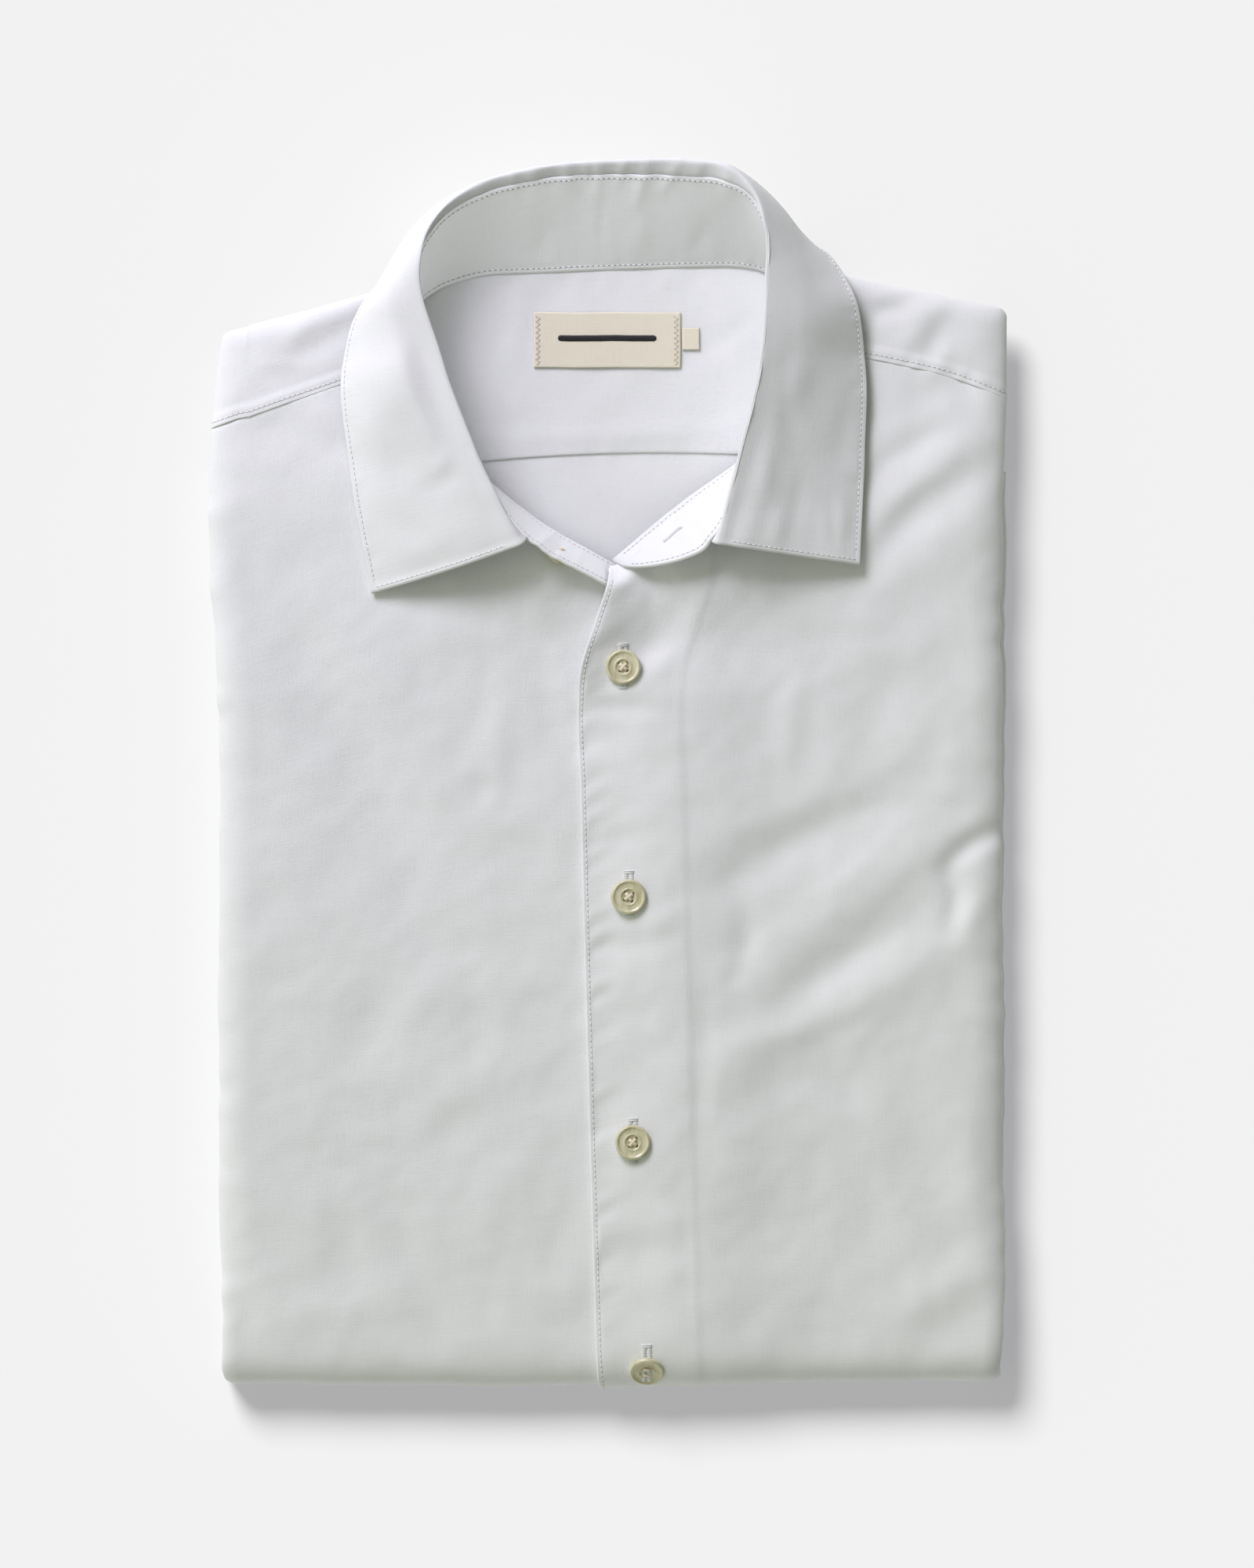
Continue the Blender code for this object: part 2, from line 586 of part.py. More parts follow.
def add_leaf(finish):
    curves = zip(*(collar_curve(n) for n in ("seam", "crest", "edge", "belly")))
    sections = [leaf_section(*places) for places in curves]
    return wall("collar_leaf", np.stack(sections, axis=1), finish, BAND_CLOTH)


# ---- The solid of the hidden layers ---------------------------------------------------------
CORE_X, CORE_Y = 14, 20


def core_ring(z_low, z_share, side_in, ridge_in, fold_in):
    """One loop round the hidden layers, in plan insets from the outline, as grid corners."""
    s, t = np.linspace(0, 1, CORE_X + 1), np.linspace(0, 1, CORE_Y + 1)
    loop = [(a, 0.0) for a in s[:-1]] + [(1.0, b) for b in t[:-1]]
    loop += [(a, 1.0) for a in s[:0:-1]] + [(0.0, b) for b in t[:0:-1]]
    return [core_point(a, b, z_low, z_share, side_in, ridge_in, fold_in) for a, b in loop]


def core_point(a, b, z_low, z_share, side_in, ridge_in, fold_in):
    rough_x = -136 + 274 * a
    ridge = column(SHOULDERS, "x", "ridge", rough_x) - ridge_in
    fold = column(FOLD_LINE, "x", "fold", rough_x) + fold_in
    y = fold + (ridge - fold) * b
    side_in += max(0.0, WEB - side_in) * (1 - float(smooth(*PINCH_END, y - fold)))
    right = column(SIDES, "y", "right", y) + side_in
    left = column(SIDES, "y", "left", y) - side_in
    x = right + (left - right) * a
    corner = max(abs(2 * a - 1), 0) ** 6 * max(abs(2 * b - 1), 0) ** 6
    x -= CORNER_CUT * corner * math.copysign(1, 2 * a - 1)
    y -= CORNER_CUT * corner * math.copysign(1, 2 * b - 1)
    if z_share is None:
        return (x, y, z_low)
    top = min(float(chest(x, y)), float(body_height(y))) - CORE_CLEAR - TOP_SAG
    return (x, y, z_low + (top - z_low) * z_share)


def roll_inset(share, roll, clear):
    """Plan inset of a rolled side at a share of its thickness, behind a wall."""
    return clear + (roll - clear) * (1 - math.sqrt(max(0.0, 1 - (2 * share - 1) ** 2)))


def add_core(finish, well_cutter, channel_cutter):
    """One rounded solid for every hidden layer, stepped at its edges like stacked cloth."""
    low, top_of_lower = CORE_CLEAR, MIDDLE - HALF_GAP / 2 - CORE_CLEAR
    high = MIDDLE + HALF_GAP / 2 + CORE_CLEAR

    def fold_in(z):
        return FOLD_ROLL - (FOLD_ROLL - CORE_CLEAR - 2.6) * math.sqrt(
            max(0.0, 1 - ((z - MIDDLE) / (MIDDLE - CORE_CLEAR + 0.1)) ** 2)
        )

    rings = []
    z = low
    scale = (top_of_lower - low) / sum(layer.thick for layer in LOWER_LAYERS)
    for k, layer in enumerate(LOWER_LAYERS):
        for place, lip in ((0.0, LIP), (0.5, 0.0)):
            at = z + layer.thick * scale * place
            side = roll_inset((at - low) / (top_of_lower - low), SIDE_ROLL, CORE_CLEAR + LAYER_SAG)
            step = LOWER_LAYERS[max(k - 1, 0)].set_back if place == 0 else layer.set_back
            back = BACK_INSET + max(step, layer.set_back) + lip
            rings.append(core_ring(at, None, side + lip, back, fold_in(at)))
        z += layer.thick * scale
    rings.append(core_ring(z, None, SIDE_ROLL + 1, 2 * BACK_INSET, fold_in(z)))
    rings.append(core_ring(z + 0.05, None, WEB, WEB_BACK, fold_in(z)))
    rings.append(core_ring(high - 0.05, None, WEB, WEB_BACK, fold_in(high)))
    for share in (0.0, 0.3, 0.6, 0.85):
        side = roll_inset(share, SIDE_ROLL, CORE_CLEAR + 0.4)
        ridge = roll_inset(share, SHOULDER_ROLL, CORE_CLEAR + 1.2)
        at = high + (STACK - CORE_CLEAR - high) * share
        rings.append(core_ring(high, share, side + 0.8, ridge + 0.8, fold_in(at) + 0.5))
    cap_inset = (SIDE_ROLL, SHOULDER_ROLL + 0.8, FOLD_ROLL - 1)
    rings.append(core_ring(high, 1.0, *cap_inset))

    bm = bmesh.new()
    loops = [[bm.verts.new([v * MM for v in p]) for p in ring] for ring in rings]
    count = len(loops[0])
    for lower, upper in zip(loops, loops[1:]):
        for i in range(count):
            j = (i + 1) % count
            bm.faces.new((lower[i], lower[j], upper[j], upper[i]))
    bm.faces.new(loops[0][::-1])
    cap = {}
    for i, vert in enumerate(loops[-1]):
        if i < CORE_X:
            cap[i, 0] = vert
        elif i < CORE_X + CORE_Y:
            cap[CORE_X, i - CORE_X] = vert
        elif i < 2 * CORE_X + CORE_Y:
            cap[2 * CORE_X + CORE_Y - i, CORE_Y] = vert
        else:
            cap[0, count - i] = vert
    for i in range(1, CORE_X):
        for j in range(1, CORE_Y):
            at = core_point(i / CORE_X, j / CORE_Y, high, 1.0, *cap_inset)
            cap[i, j] = bm.verts.new([v * MM for v in at])
    for i in range(CORE_X):
        for j in range(CORE_Y):
            bm.faces.new((cap[i, j], cap[i + 1, j], cap[i + 1, j + 1], cap[i, j + 1]))
    bmesh.ops.recalc_face_normals(bm, faces=bm.faces)
    mesh = bpy.data.meshes.new("folded_layers")
    bm.to_mesh(mesh)
    bm.free()
    obj = add_object("folded_layers", mesh, finish)
    cut(obj, well_cutter)
    cut(obj, channel_cutter)
    return obj


# ---- Buttons and labels --------------------------------------------------------------------


def button_mesh(size):
    """A four-hole shirt button: a turned disc with a raised rim and a dished middle."""
    radius, thick = size / 2, BUTTON_THICK
    profile = [
        (0.0, 0.0), (radius - 0.9, 0.0), (radius, 0.9), (radius - 0.4, thick),
        (radius - 1.4, thick), (radius * 0.5, thick - 0.6), (0.0, thick - 0.7),
    ]
    bm = bmesh.new()
    verts = [bm.verts.new((r * MM, 0, z * MM)) for r, z in profile]
    edges = [bm.edges.new(pair) for pair in zip(verts, verts[1:])]
    bmesh.ops.spin(
        bm, geom=verts + edges, cent=(0, 0, 0), axis=(0, 0, 1),
        angle=2 * math.pi, steps=18, use_merge=True,
    )
    bmesh.ops.remove_doubles(bm, verts=bm.verts, dist=0.02 * MM)
    bmesh.ops.recalc_face_normals(bm, faces=bm.faces)
    mesh = bpy.data.meshes.new("button")
    bm.to_mesh(mesh)
    bm.free()
    mesh.shade_smooth()
    mesh.set_sharp_from_angle(angle=math.radians(40))
    return mesh


def hole_cutter(name):
    """Four pins, for cutting a button's thread holes."""
    bm = bmesh.new()
    for x, y in ((-1, -1), (1, -1), (1, 1), (-1, 1)):
        made = bmesh.ops.create_cone(
            bm, cap_ends=True, segments=6, radius1=0.75 * MM, radius2=0.75 * MM, depth=8 * MM
        )
        bmesh.ops.translate(bm, verts=made["verts"], vec=(1.25 * x * MM, 1.25 * y * MM, 0))
    mesh = bpy.data.meshes.new(name)
    bm.to_mesh(mesh)
    bm.free()
    obj = bpy.data.objects.new(name, mesh)
    bpy.context.collection.objects.link(obj)
    obj.hide_render = True
    obj.display_type = "WIRE"
    return obj


def seat_button(name, mesh, finish, place, normal):
    """Sets a button on its seat, facing along the cloth's normal, with its holes cut."""
    up = np.array(normal, float)
    up /= np.linalg.norm(up)
    across = np.cross((0.0, 1.0, 0.0), up)
    across /= np.linalg.norm(across)
    frame = np.eye(4)
    frame[:3, 0], frame[:3, 1], frame[:3, 2] = across, np.cross(up, across), up
    frame[:3, 3] = (np.array(place, float) + up * SEAM_GAP) * MM
    obj = bpy.data.objects.new(name, mesh)
    if not mesh.materials:
        mesh.materials.append(finish)
    bpy.context.collection.objects.link(obj)
    pins = hole_cutter(name + "_holes")
    for o in (obj, pins):
        o.matrix_world = Matrix(frame.tolist())
    cut(obj, pins)
    return obj


def add_buttons(finish):
    mesh = button_mesh(BUTTON_SIZE)
    lift = PLACKET_STEP
    for number, (x, y) in enumerate(((5.4, 37.5), (7.3, -42.8), (8.7, -128.6)), 1):
        height = float(chest(x, y)) + lift + 0.15
        seat_button(f"button_{number}", mesh, finish, (x, y, height), (0, 0, 1))
    # The fourth sits on the bottom fold, tipped with the cloth.
    x, turn = 13.6, math.radians(42)
    fold = float(column(FOLD_LINE, "x", "fold", x))
    normal = np.array([0.0, -math.sin(turn) / FOLD_ROLL, math.cos(turn) / MIDDLE])
    normal /= np.linalg.norm(normal)
    place = np.array([x, fold + FOLD_ROLL * (1 - math.sin(turn)), MIDDLE * (1 + math.cos(turn))])
    seat_button("button_4", mesh, finish, place + normal * (lift + 0.1), normal)
    # The next three are on the folded-under tail, face down in the placket's channel.
    for number in (5, 6, 7):
        y = -147.0 + BUTTON_PITCH * (number - 5)
        seat_button(f"button_{number}", mesh, finish, (12.0, y, BUTTON_HOLLOW), (0, 0, -1))
    # The collar button is on the outer face of the right tab.
    neck, seam = (collar_curve(n, tabs=True)[3] for n in ("neck", "seam"))
    ahead = collar_curve("neck", tabs=True)[4] - neck
    outward = np.cross(ahead, seam - neck)
    outward /= np.linalg.norm(outward)
    outward *= -1 if outward[2] > 0 else 1
    middle = neck + (seam - neck) * 0.52 + outward * (BAND_CLOTH + 0.7)
    seat_button("button_collar", button_mesh(COLLAR_BUTTON_SIZE), finish, middle, outward)


def add_label(name, place, top, finish):
    """A woven label that lies on the yoke facing."""
    half_x, half_y = place.width / 2, place.depth / 2
    grid = np.zeros((2, 4, 3))
    for c, s in enumerate(np.linspace(-1, 1, 4)):
        for r, t in enumerate((-1, 1)):
            grid[r, c] = (place.x + half_x * s, place.y + half_y * t, top)
    return wall(name, grid, finish, LABEL_CLOTH)


# ---- Assembly ------------------------------------------------------------------------------


def clear_scene():
    for obj in list(bpy.data.objects):
        bpy.data.objects.remove(obj, do_unlink=True)


def main():
    clear_scene()
    shirting = material("shirting", SHIRTING)
    cotton = material("label_cotton", LABEL_COTTON)
    shell = material("shell", SHELL)

    body_neck = add_cutter("neck_of_the_fronts", opening(FRONT_CLEAR), MIDDLE - 2, ABOVE_ALL)
    yoke_neck = add_cutter("neck_of_the_yoke", opening(YOKE_CLEAR), YOKE_BACK + CLOTH + 0.1, ABOVE_ALL)
    well = add_cutter("well_of_the_neck", opening(WELL, WELL_WIDTH), WELL_FLOOR, ABOVE_ALL)
    channel = add_cutter(
        "placket_channel",
        [(-30, -216), (54, -216), (54, 176), (-30, 176)],
        -1,
        BUTTON_HOLLOW + PLACKET_STEP + CLOTH + 1.05,
    )

    add_front("front_right", -1, shirting, body_neck)
    add_front("front_left", 1, shirting, body_neck)
    add_yoke(shirting, yoke_neck)
    lying_panel("yoke_facing", YOKE_SEAM, NECK_BACK, FACING_TOP, shirting)
    lying_panel("back", BACK_FRONT, YOKE_SEAM - SEAM_GAP, BACK_TOP, shirting)
    add_band(shirting)
    add_leaf(shirting)
    add_core(shirting, well, channel)
    add_label("label", NECK_LABEL, FACING_TOP + SEAM_GAP + LABEL_CLOTH, cotton)
    add_label("size_tab", SIZE_TAB, FACING_TOP + SEAM_GAP + LABEL_CLOTH, cotton)
    add_buttons(shell)


main()
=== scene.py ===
"""Looks of a men's dress shirt that is folded for the shelf and lies on its back.

Left and right are the wearer's: the left front is at +X and laps over the right one.
The collar points along +Y. Lengths are millimetres, and MM turns them into metres.
"""

import math
from collections import namedtuple

import bmesh
import bpy
import numpy as np
from mathutils import Matrix, Vector


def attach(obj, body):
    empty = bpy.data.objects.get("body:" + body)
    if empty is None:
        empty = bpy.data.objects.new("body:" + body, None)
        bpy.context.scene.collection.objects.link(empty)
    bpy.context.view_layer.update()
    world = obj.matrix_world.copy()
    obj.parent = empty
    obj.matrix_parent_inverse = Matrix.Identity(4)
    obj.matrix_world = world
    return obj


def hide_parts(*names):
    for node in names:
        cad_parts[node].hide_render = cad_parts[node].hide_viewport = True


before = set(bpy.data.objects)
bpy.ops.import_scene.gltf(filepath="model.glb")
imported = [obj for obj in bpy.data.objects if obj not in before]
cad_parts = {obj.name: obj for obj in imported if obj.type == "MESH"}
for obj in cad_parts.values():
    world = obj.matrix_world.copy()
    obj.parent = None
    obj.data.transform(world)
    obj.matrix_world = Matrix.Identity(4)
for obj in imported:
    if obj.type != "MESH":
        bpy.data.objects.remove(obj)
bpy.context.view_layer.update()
MM = 0.001

# ---- Camera, floor and light ---------------------------------------------------------------
# The shirt lies on a plain pale table, seen from straight above through a long lens. The room
# is bright on the shirt's right. A broad lamp and a window beyond its right shoulder light the
# cloth, and a steeper lamp the table alone. The neckband has a card of light in its own section.
VIEW_CENTRE = (6.7, -3.4)
VIEW_HEIGHT = 550.0
CAMERA_UP = 6000.0
SENSOR = 36.0
CLOTH_LAMP = {"towards": (-0.42, 0.74, 0.62), "spread": 24.0, "power": 1.31}
TABLE_LAMP = {"towards": (-0.42, 0.74, 0.80), "spread": 24.0, "power": 7.6}
WINDOW = {"place": (-0.32, 0.62, 0.50), "size": 0.45, "power": 2.92, "colour": (0.764, 0.678, 1.0)}
FILL, FILL_TINT = 0.395, (0.944, 1.0, 0.833, 1)
FILL_SLOPE = (-0.95, 0.0, 0.0)
TABLE_WHITE = (0.28, 0.28, 0.28, 1)
TABLE_GLOW = (0.316, 0.310, 0.329, 1)


def hung(lamp, towards):
    """Hangs a lamp so that it shines from this direction."""
    holder = bpy.data.objects.new(lamp.name, lamp)
    bpy.context.scene.collection.objects.link(holder)
    holder.rotation_mode = "QUATERNION"
    holder.rotation_quaternion = Vector(towards).to_track_quat("Z", "Y")
    return holder


def soft_lamp(name, towards, spread, power):
    """A lamp far off in one direction, spread over so many degrees of the sky."""
    lamp = bpy.data.lights.new(name, "SUN")
    lamp.angle = math.radians(spread)
    lamp.energy = power
    return hung(lamp, towards)


def window_lamp(name, place, size, power, colour):
    """A square of light that faces the shirt from one place."""
    lamp = bpy.data.lights.new(name, "AREA")
    lamp.size = size
    lamp.energy = power
    lamp.color = colour
    holder = hung(lamp, place)
    holder.location = place
    return holder


def shine_on(lamp, thing, state):
    """Lets the lamp light only this thing, or everything but it."""
    lit = bpy.data.collections.new(lamp.name + " light")
    lit.objects.link(thing)
    lit.collection_objects[0].light_linking.link_state = state
    lamp.light_linking.receiver_collection = lit


scene = bpy.context.scene
scene.view_settings.view_transform = "Standard"
lens = bpy.data.cameras.new("camera")
lens.sensor_width = SENSOR
lens.lens = SENSOR * CAMERA_UP / VIEW_HEIGHT
lens.clip_end = 4 * CAMERA_UP * MM
camera = bpy.data.objects.new("camera", lens)
camera.location = (VIEW_CENTRE[0] * MM, VIEW_CENTRE[1] * MM, CAMERA_UP * MM)
scene.collection.objects.link(camera)
scene.camera = camera

scene.world = bpy.data.worlds.new("studio")
scene.world.use_nodes = True
sky = scene.world.node_tree
studio = sky.nodes["Background"]
studio.inputs["Color"].default_value = FILL_TINT
skyward = sky.nodes.new("ShaderNodeTexCoord")
sideways = sky.nodes.new("ShaderNodeVectorMath")
sideways.operation = "DOT_PRODUCT"
sideways.inputs[1].default_value = FILL_SLOPE
strength = sky.nodes.new("ShaderNodeMath")
strength.operation = "MULTIPLY_ADD"
strength.inputs[1].default_value = FILL
strength.inputs[2].default_value = FILL
sky.links.new(skyward.outputs["Generated"], sideways.inputs[0])
sky.links.new(sideways.outputs["Value"], strength.inputs[0])
sky.links.new(strength.outputs[0], studio.inputs["Strength"])

TABLE_REACH = 3.0  # metres
table_mesh = bpy.data.meshes.new("table")
table_mesh.from_pydata(
    [(TABLE_REACH * x, TABLE_REACH * y, 0) for x, y in ((-1, -1), (1, -1), (1, 1), (-1, 1))],
    [],
    [(0, 1, 2, 3)],
)
table = bpy.data.objects.new("table", table_mesh)
table_paint = bpy.data.materials.new("table paint")
table_paint.use_nodes = True
table_shader = table_paint.node_tree.nodes["Principled BSDF"]
table_shader.inputs["Base Color"].default_value = TABLE_WHITE
table_shader.inputs["Roughness"].default_value = 1.0
table_shader.inputs["Specular IOR Level"].default_value = 0.0
table_shader.inputs["Emission Color"].default_value = TABLE_GLOW
table_shader.inputs["Emission Strength"].default_value = 1.0
table_mesh.materials.append(table_paint)
scene.collection.objects.link(table)
shine_on(soft_lamp("cloth lamp", **CLOTH_LAMP), table, "EXCLUDE")
shine_on(window_lamp("window", **WINDOW), table, "EXCLUDE")
shine_on(soft_lamp("table lamp", **TABLE_LAMP), table, "INCLUDE")

# ---- Shirting -------------------------------------------------------------------------------
# White plain-weave cotton of about 120 g/m2, washed soft, with slubs in both directions.
# Every panel, the neckband and the collar are cut from it. The weave follows each piece's cut.
SHIRTING_WHITE = (0.855, 0.862, 0.868, 1)
SLUB_SHADE = (0.81, 0.818, 0.825, 1)
THREAD_PITCH = 0.42
SLUB_LENGTH, SLUB_WIDTH = 9.0, 0.5
SHIRTING_ROUGHNESS = 0.88


def node(tree, kind, **settings):
    made = tree.nodes.new(kind)
    for key, value in settings.items():
        setattr(made, key, value)
    return made


def stretched_noise(tree, place, along_x, along_y, detail=2.0):
    """Noise whose grains are along_x by along_y millimetres."""
    stretch = node(tree, "ShaderNodeVectorMath", operation="MULTIPLY")
    stretch.inputs[1].default_value = (1 / (along_x * MM), 1 / (along_y * MM), 1.0)
    tree.links.new(place, stretch.inputs[0])
    noise = node(tree, "ShaderNodeTexNoise")
    noise.inputs["Scale"].default_value = 1.0
    noise.inputs["Detail"].default_value = detail
    tree.links.new(stretch.outputs[0], noise.inputs["Vector"])
    return noise.outputs["Fac"]


def joined(tree, operation, a, b):
    """One Math node; a and b are sockets or numbers."""
    math_node = node(tree, "ShaderNodeMath", operation=operation)
    for socket, value in zip(math_node.inputs, (a, b)):
        if isinstance(value, (int, float)):
            socket.default_value = value
        else:
            tree.links.new(value, socket)
    return math_node.outputs[0]


def new_finish(name, roughness, **shine):
    """A new material, its node tree and its shader, with numbers on the shader's own sockets."""
    made = bpy.data.materials.new(name)
    made.use_nodes = True
    shader = made.node_tree.nodes["Principled BSDF"]
    shader.inputs["Roughness"].default_value = roughness
    for socket, value in shine.items():
        shader.inputs[socket.replace("_", " ")].default_value = value
    return made, made.node_tree, shader


def tinted(tree, shader, amount, first, second):
    """Colours the shader from first to second by an amount."""
    tint = node(tree, "ShaderNodeMix", data_type="RGBA")
    tint.inputs["A"].default_value = first
    tint.inputs["B"].default_value = second
    tree.links.new(amount, tint.inputs["Factor"])
    tree.links.new(tint.outputs["Result"], shader.inputs["Base Color"])


def embossed(tree, shader, height, strength, distance):
    """Raises the surface by a height."""
    bump = node(tree, "ShaderNodeBump")
    bump.inputs["Strength"].default_value = strength
    bump.inputs["Distance"].default_value = distance * MM
    tree.links.new(height, bump.inputs["Height"])
    tree.links.new(bump.outputs["Normal"], shader.inputs["Normal"])


def woven(name, colour, shade, pitch, roughness, thread_rise=0.05, slub_rise=0.10):
    """A plain-weave cloth: raised threads both ways, and slubs that are a little darker."""
    made, tree, shader = new_finish(
        name, roughness, Specular_IOR_Level=0.25, Sheen_Weight=0.08, Sheen_Roughness=0.5
    )
    cut = node(tree, "ShaderNodeUVMap", uv_map="cut")
    split = node(tree, "ShaderNodeSeparateXYZ")
    tree.links.new(cut.outputs["UV"], split.inputs[0])
    turns = 2 * math.pi / (pitch * MM)
    warp = joined(tree, "SINE", joined(tree, "MULTIPLY", split.outputs[0], turns), 0.0)
    weft = joined(tree, "SINE", joined(tree, "MULTIPLY", split.outputs[1], turns), 0.0)
    threads = joined(tree, "MULTIPLY", warp, weft)
    slubs_up = stretched_noise(tree, cut.outputs["UV"], SLUB_WIDTH, SLUB_LENGTH)
    slubs_across = stretched_noise(tree, cut.outputs["UV"], SLUB_LENGTH, SLUB_WIDTH)
    slubs = joined(tree, "ADD", slubs_up, slubs_across)
    fleck = node(tree, "ShaderNodeMapRange", clamp=True)
    fleck.inputs["From Min"].default_value = 1.02
    fleck.inputs["From Max"].default_value = 1.42
    tree.links.new(slubs, fleck.inputs["Value"])
    tinted(tree, shader, fleck.outputs["Result"], colour, shade)
    raised = joined(tree, "MULTIPLY", threads, thread_rise), joined(tree, "MULTIPLY", slubs, slub_rise)
    height = joined(tree, "ADD", *raised)
    embossed(tree, shader, height, 0.6, 1.0)
    return made


shirting = woven("shirting", SHIRTING_WHITE, SLUB_SHADE, THREAD_PITCH, SHIRTING_ROUGHNESS)

# ---- The two fronts -------------------------------------------------------------------------
# Each front is one panel: it hangs from the yoke seam, runs over the chest, rolls round the
# bottom fold and lies back underneath as the shirt's tail. Its side is rolled in by hand.
STACK = 22.0
MIDDLE = STACK / 2
HALF_GAP = 0.4
SHOULDER_DROP = 3.0
SIDE_ROLL, CORNER_ROLL, FOLD_ROLL = 11.0, 6.0, 16.0
PINCHED, PINCH_LENGTH = 5.4, 34.0
FOLD_SQUARENESS = 0.74  # below 1 the bottom fold stays flat for longer and then turns sharply
SIDE_RETURN = 6.0
YOKE_GAP = 0.45
BUTTON_STAND, FACING = 30.0, 36.0
PLACKET_STEP = 1.5
PLACKET_CROWN = 2.0  # the buttons hold the middle of the placket up by so much
CROWN_RISE, CROWN_FALL, CROWN_END = 32, 50, (26, 46)  # off the edge, past the facing, and its y
RIM_RISE, RIM_GROOVE, GROOVE_OFF = 0.07, 0.05, 1.8  # the rim outside the stitching, and its groove
UNDER_EDGE_X = -2.0
TAIL_HEM, TAIL_CURVE = 148.0, 42.0
BUTTON_HOLLOW = 3.2
EDGE_TURN = 0.5  # radius of a turned edge
PITCH = 1.5  # of the mesh on the chest

Side = namedtuple("Side", "y right left lower_left")
SIDES = [
    Side(180.0, -134.0, 139.6, 138.6),
    Side(153.0, -135.4, 139.6, 138.8),
    Side(128.0, -138.2, 139.5, 139.2),
    Side(100.0, -139.5, 138.4, 139.6),
    Side(70.0, -139.0, 137.8, 139.4),
    Side(15.0, -135.9, 137.6, 139.0),
    Side(-60.0, -136.0, 138.0, 138.8),
    Side(-120.0, -136.0, 137.8, 138.8),
    Side(-168.0, -135.4, 138.8, 139.0),
    Side(-215.0, -134.6, 137.8, 137.8),
]
End = namedtuple("End", "x fold")
FOLD_LINE = [
    End(-140.0, -213.2),
    End(-8.0, -213.8),
    End(4.0, -213.5),
    End(60.0, -212.8),
    End(140.0, -212.1),
]
Shoulder = namedtuple("Shoulder", "x ridge seam")
SHOULDERS = [
    Shoulder(-140.0, 153.4, 119.5),
    Shoulder(-105.0, 162.5, 132.0),
    Shoulder(-60.0, 174.2, 146.5),
    Shoulder(0.0, 177.5, 150.0),
    Shoulder(60.0, 178.7, 149.5),
    Shoulder(100.0, 170.7, 143.4),
    Shoulder(120.0, 166.7, 138.6),
    Shoulder(140.0, 162.7, 131.0),
]
Edge = namedtuple("Edge", "y x")
FRONT_EDGE = [
    Edge(80.0, 0.6),
    Edge(69.0, 0.2),
    Edge(54.0, -4.3),
    Edge(38.0, -9.4),
    Edge(24.0, -10.6),
    Edge(-3.0, -9.8),
    Edge(-58.0, -8.4),
    Edge(-127.0, -6.5),
    Edge(-214.0, -3.8),
]
# The collar's rows are here because its neck seam shapes the chest. There is one for each
# place round the neck: the band's two seams, the crest and the leaf's outer edge.
Station = namedtuple("Station", "name neck seam crest edge belly")
COLLAR = [
    Station("right front edge", (-24, 88.5, 16.8), (-27.5, 82.5, 36.5),
            (-29.5, 80.2, 38.8), (-82.4, 63.1, 23.6), 1.5),
    Station("right chest", (-50, 110, 17), (-44.3, 105.2, 37),
            (-42.5, 106, 40), (-88, 96.5, 23.4), 2.5),
    Station("right side", (-74, 140, 17), (-59.2, 143.8, 37.5),
            (-57.3, 144.2, 40.3), (-90.9, 142.9, 22.2), 3.5),
    Station("right shoulder", (-66, 165, 15.5), (-66.5, 177.5, 38),
            (-65.3, 178.6, 40.8), (-80.5, 169.5, 20.5), 5.0),
    Station("right back turn", (-59, 170, 14.2), (-62.5, 188, 37.5),
            (-62.8, 189.5, 40.2), (-70, 179, 9.5), 5.5),
    Station("right behind", (-52.4, 172.5, 13.7), (-56, 195.3, 36.2),
            (-57, 197.8, 39), (-60, 187, 3), 5.0),
    Station("right back", (-45, 174.4, 13.7), (-47, 201, 34.8),
            (-48.5, 204.2, 37.3), (-47, 191.5, 1.7), 5.0),
    Station("right of centre", (-23, 175.6, 13.7), (-23, 207.6, 33),
            (-24.1, 211.6, 35.5), (-24, 197.5, 1.5), 4.5),
    Station("centre back", (5, 176.8, 13.7), (6, 209.3, 32.3),
            (6.5, 214.1, 35), (5, 199.5, 1.5), 4.5),
    Station("left of centre", (28, 177.4, 13.7), (27, 208.5, 32.8),
            (28, 214.2, 35.5), (29, 197.5, 1.5), 4.5),
    Station("left back", (44, 177.6, 13.8), (42, 206.5, 34.8),
            (43.5, 211.3, 37.5), (48, 192.5, 1.7), 5.0),
    Station("left behind", (52.5, 176.5, 14), (49.6, 201.6, 36.3),
            (50.6, 203.6, 39), (61, 188, 3.2), 5.0),
    Station("left back turn", (60, 172.5, 15), (55.4, 190.5, 37),
            (54.6, 191, 40), (74.6, 183.4, 11), 3.6),
    Station("left shoulder", (70, 160, 16.5), (56.8, 172, 37.5),
            (54.8, 172, 40.3), (84.8, 169.5, 22.2), 2.6),
    Station("left side", (74, 138, 17), (54.7, 142.7, 37.5),
            (52.7, 142.9, 40.3), (90, 145, 22.8), 1.3),
    Station("left chest", (51, 113.5, 18.2), (47, 110.2, 36.5),
            (45.2, 111, 39.3), (89.6, 108.4, 23.8), 0.9),
    Station("left front edge", (25.2, 94.5, 18.5), (35.8, 81.5, 35.5),
            (37.3, 80.4, 38), (88.1, 73, 26.2), 0.6),
]
Tab = namedtuple("Tab", "neck seam")
RIGHT_TAB = Tab((0.2, 74.9, 17.2), (-1.6, 67.2, 28.2))
LEFT_TAB = Tab((1.6, 75.2, 22.0), (11.0, 67.2, 36.0))
TAB_REACH = ((26, -13, 0), (-24, -20, 0))
LEAF_STATIONS, TAB_STATIONS = 337, 32
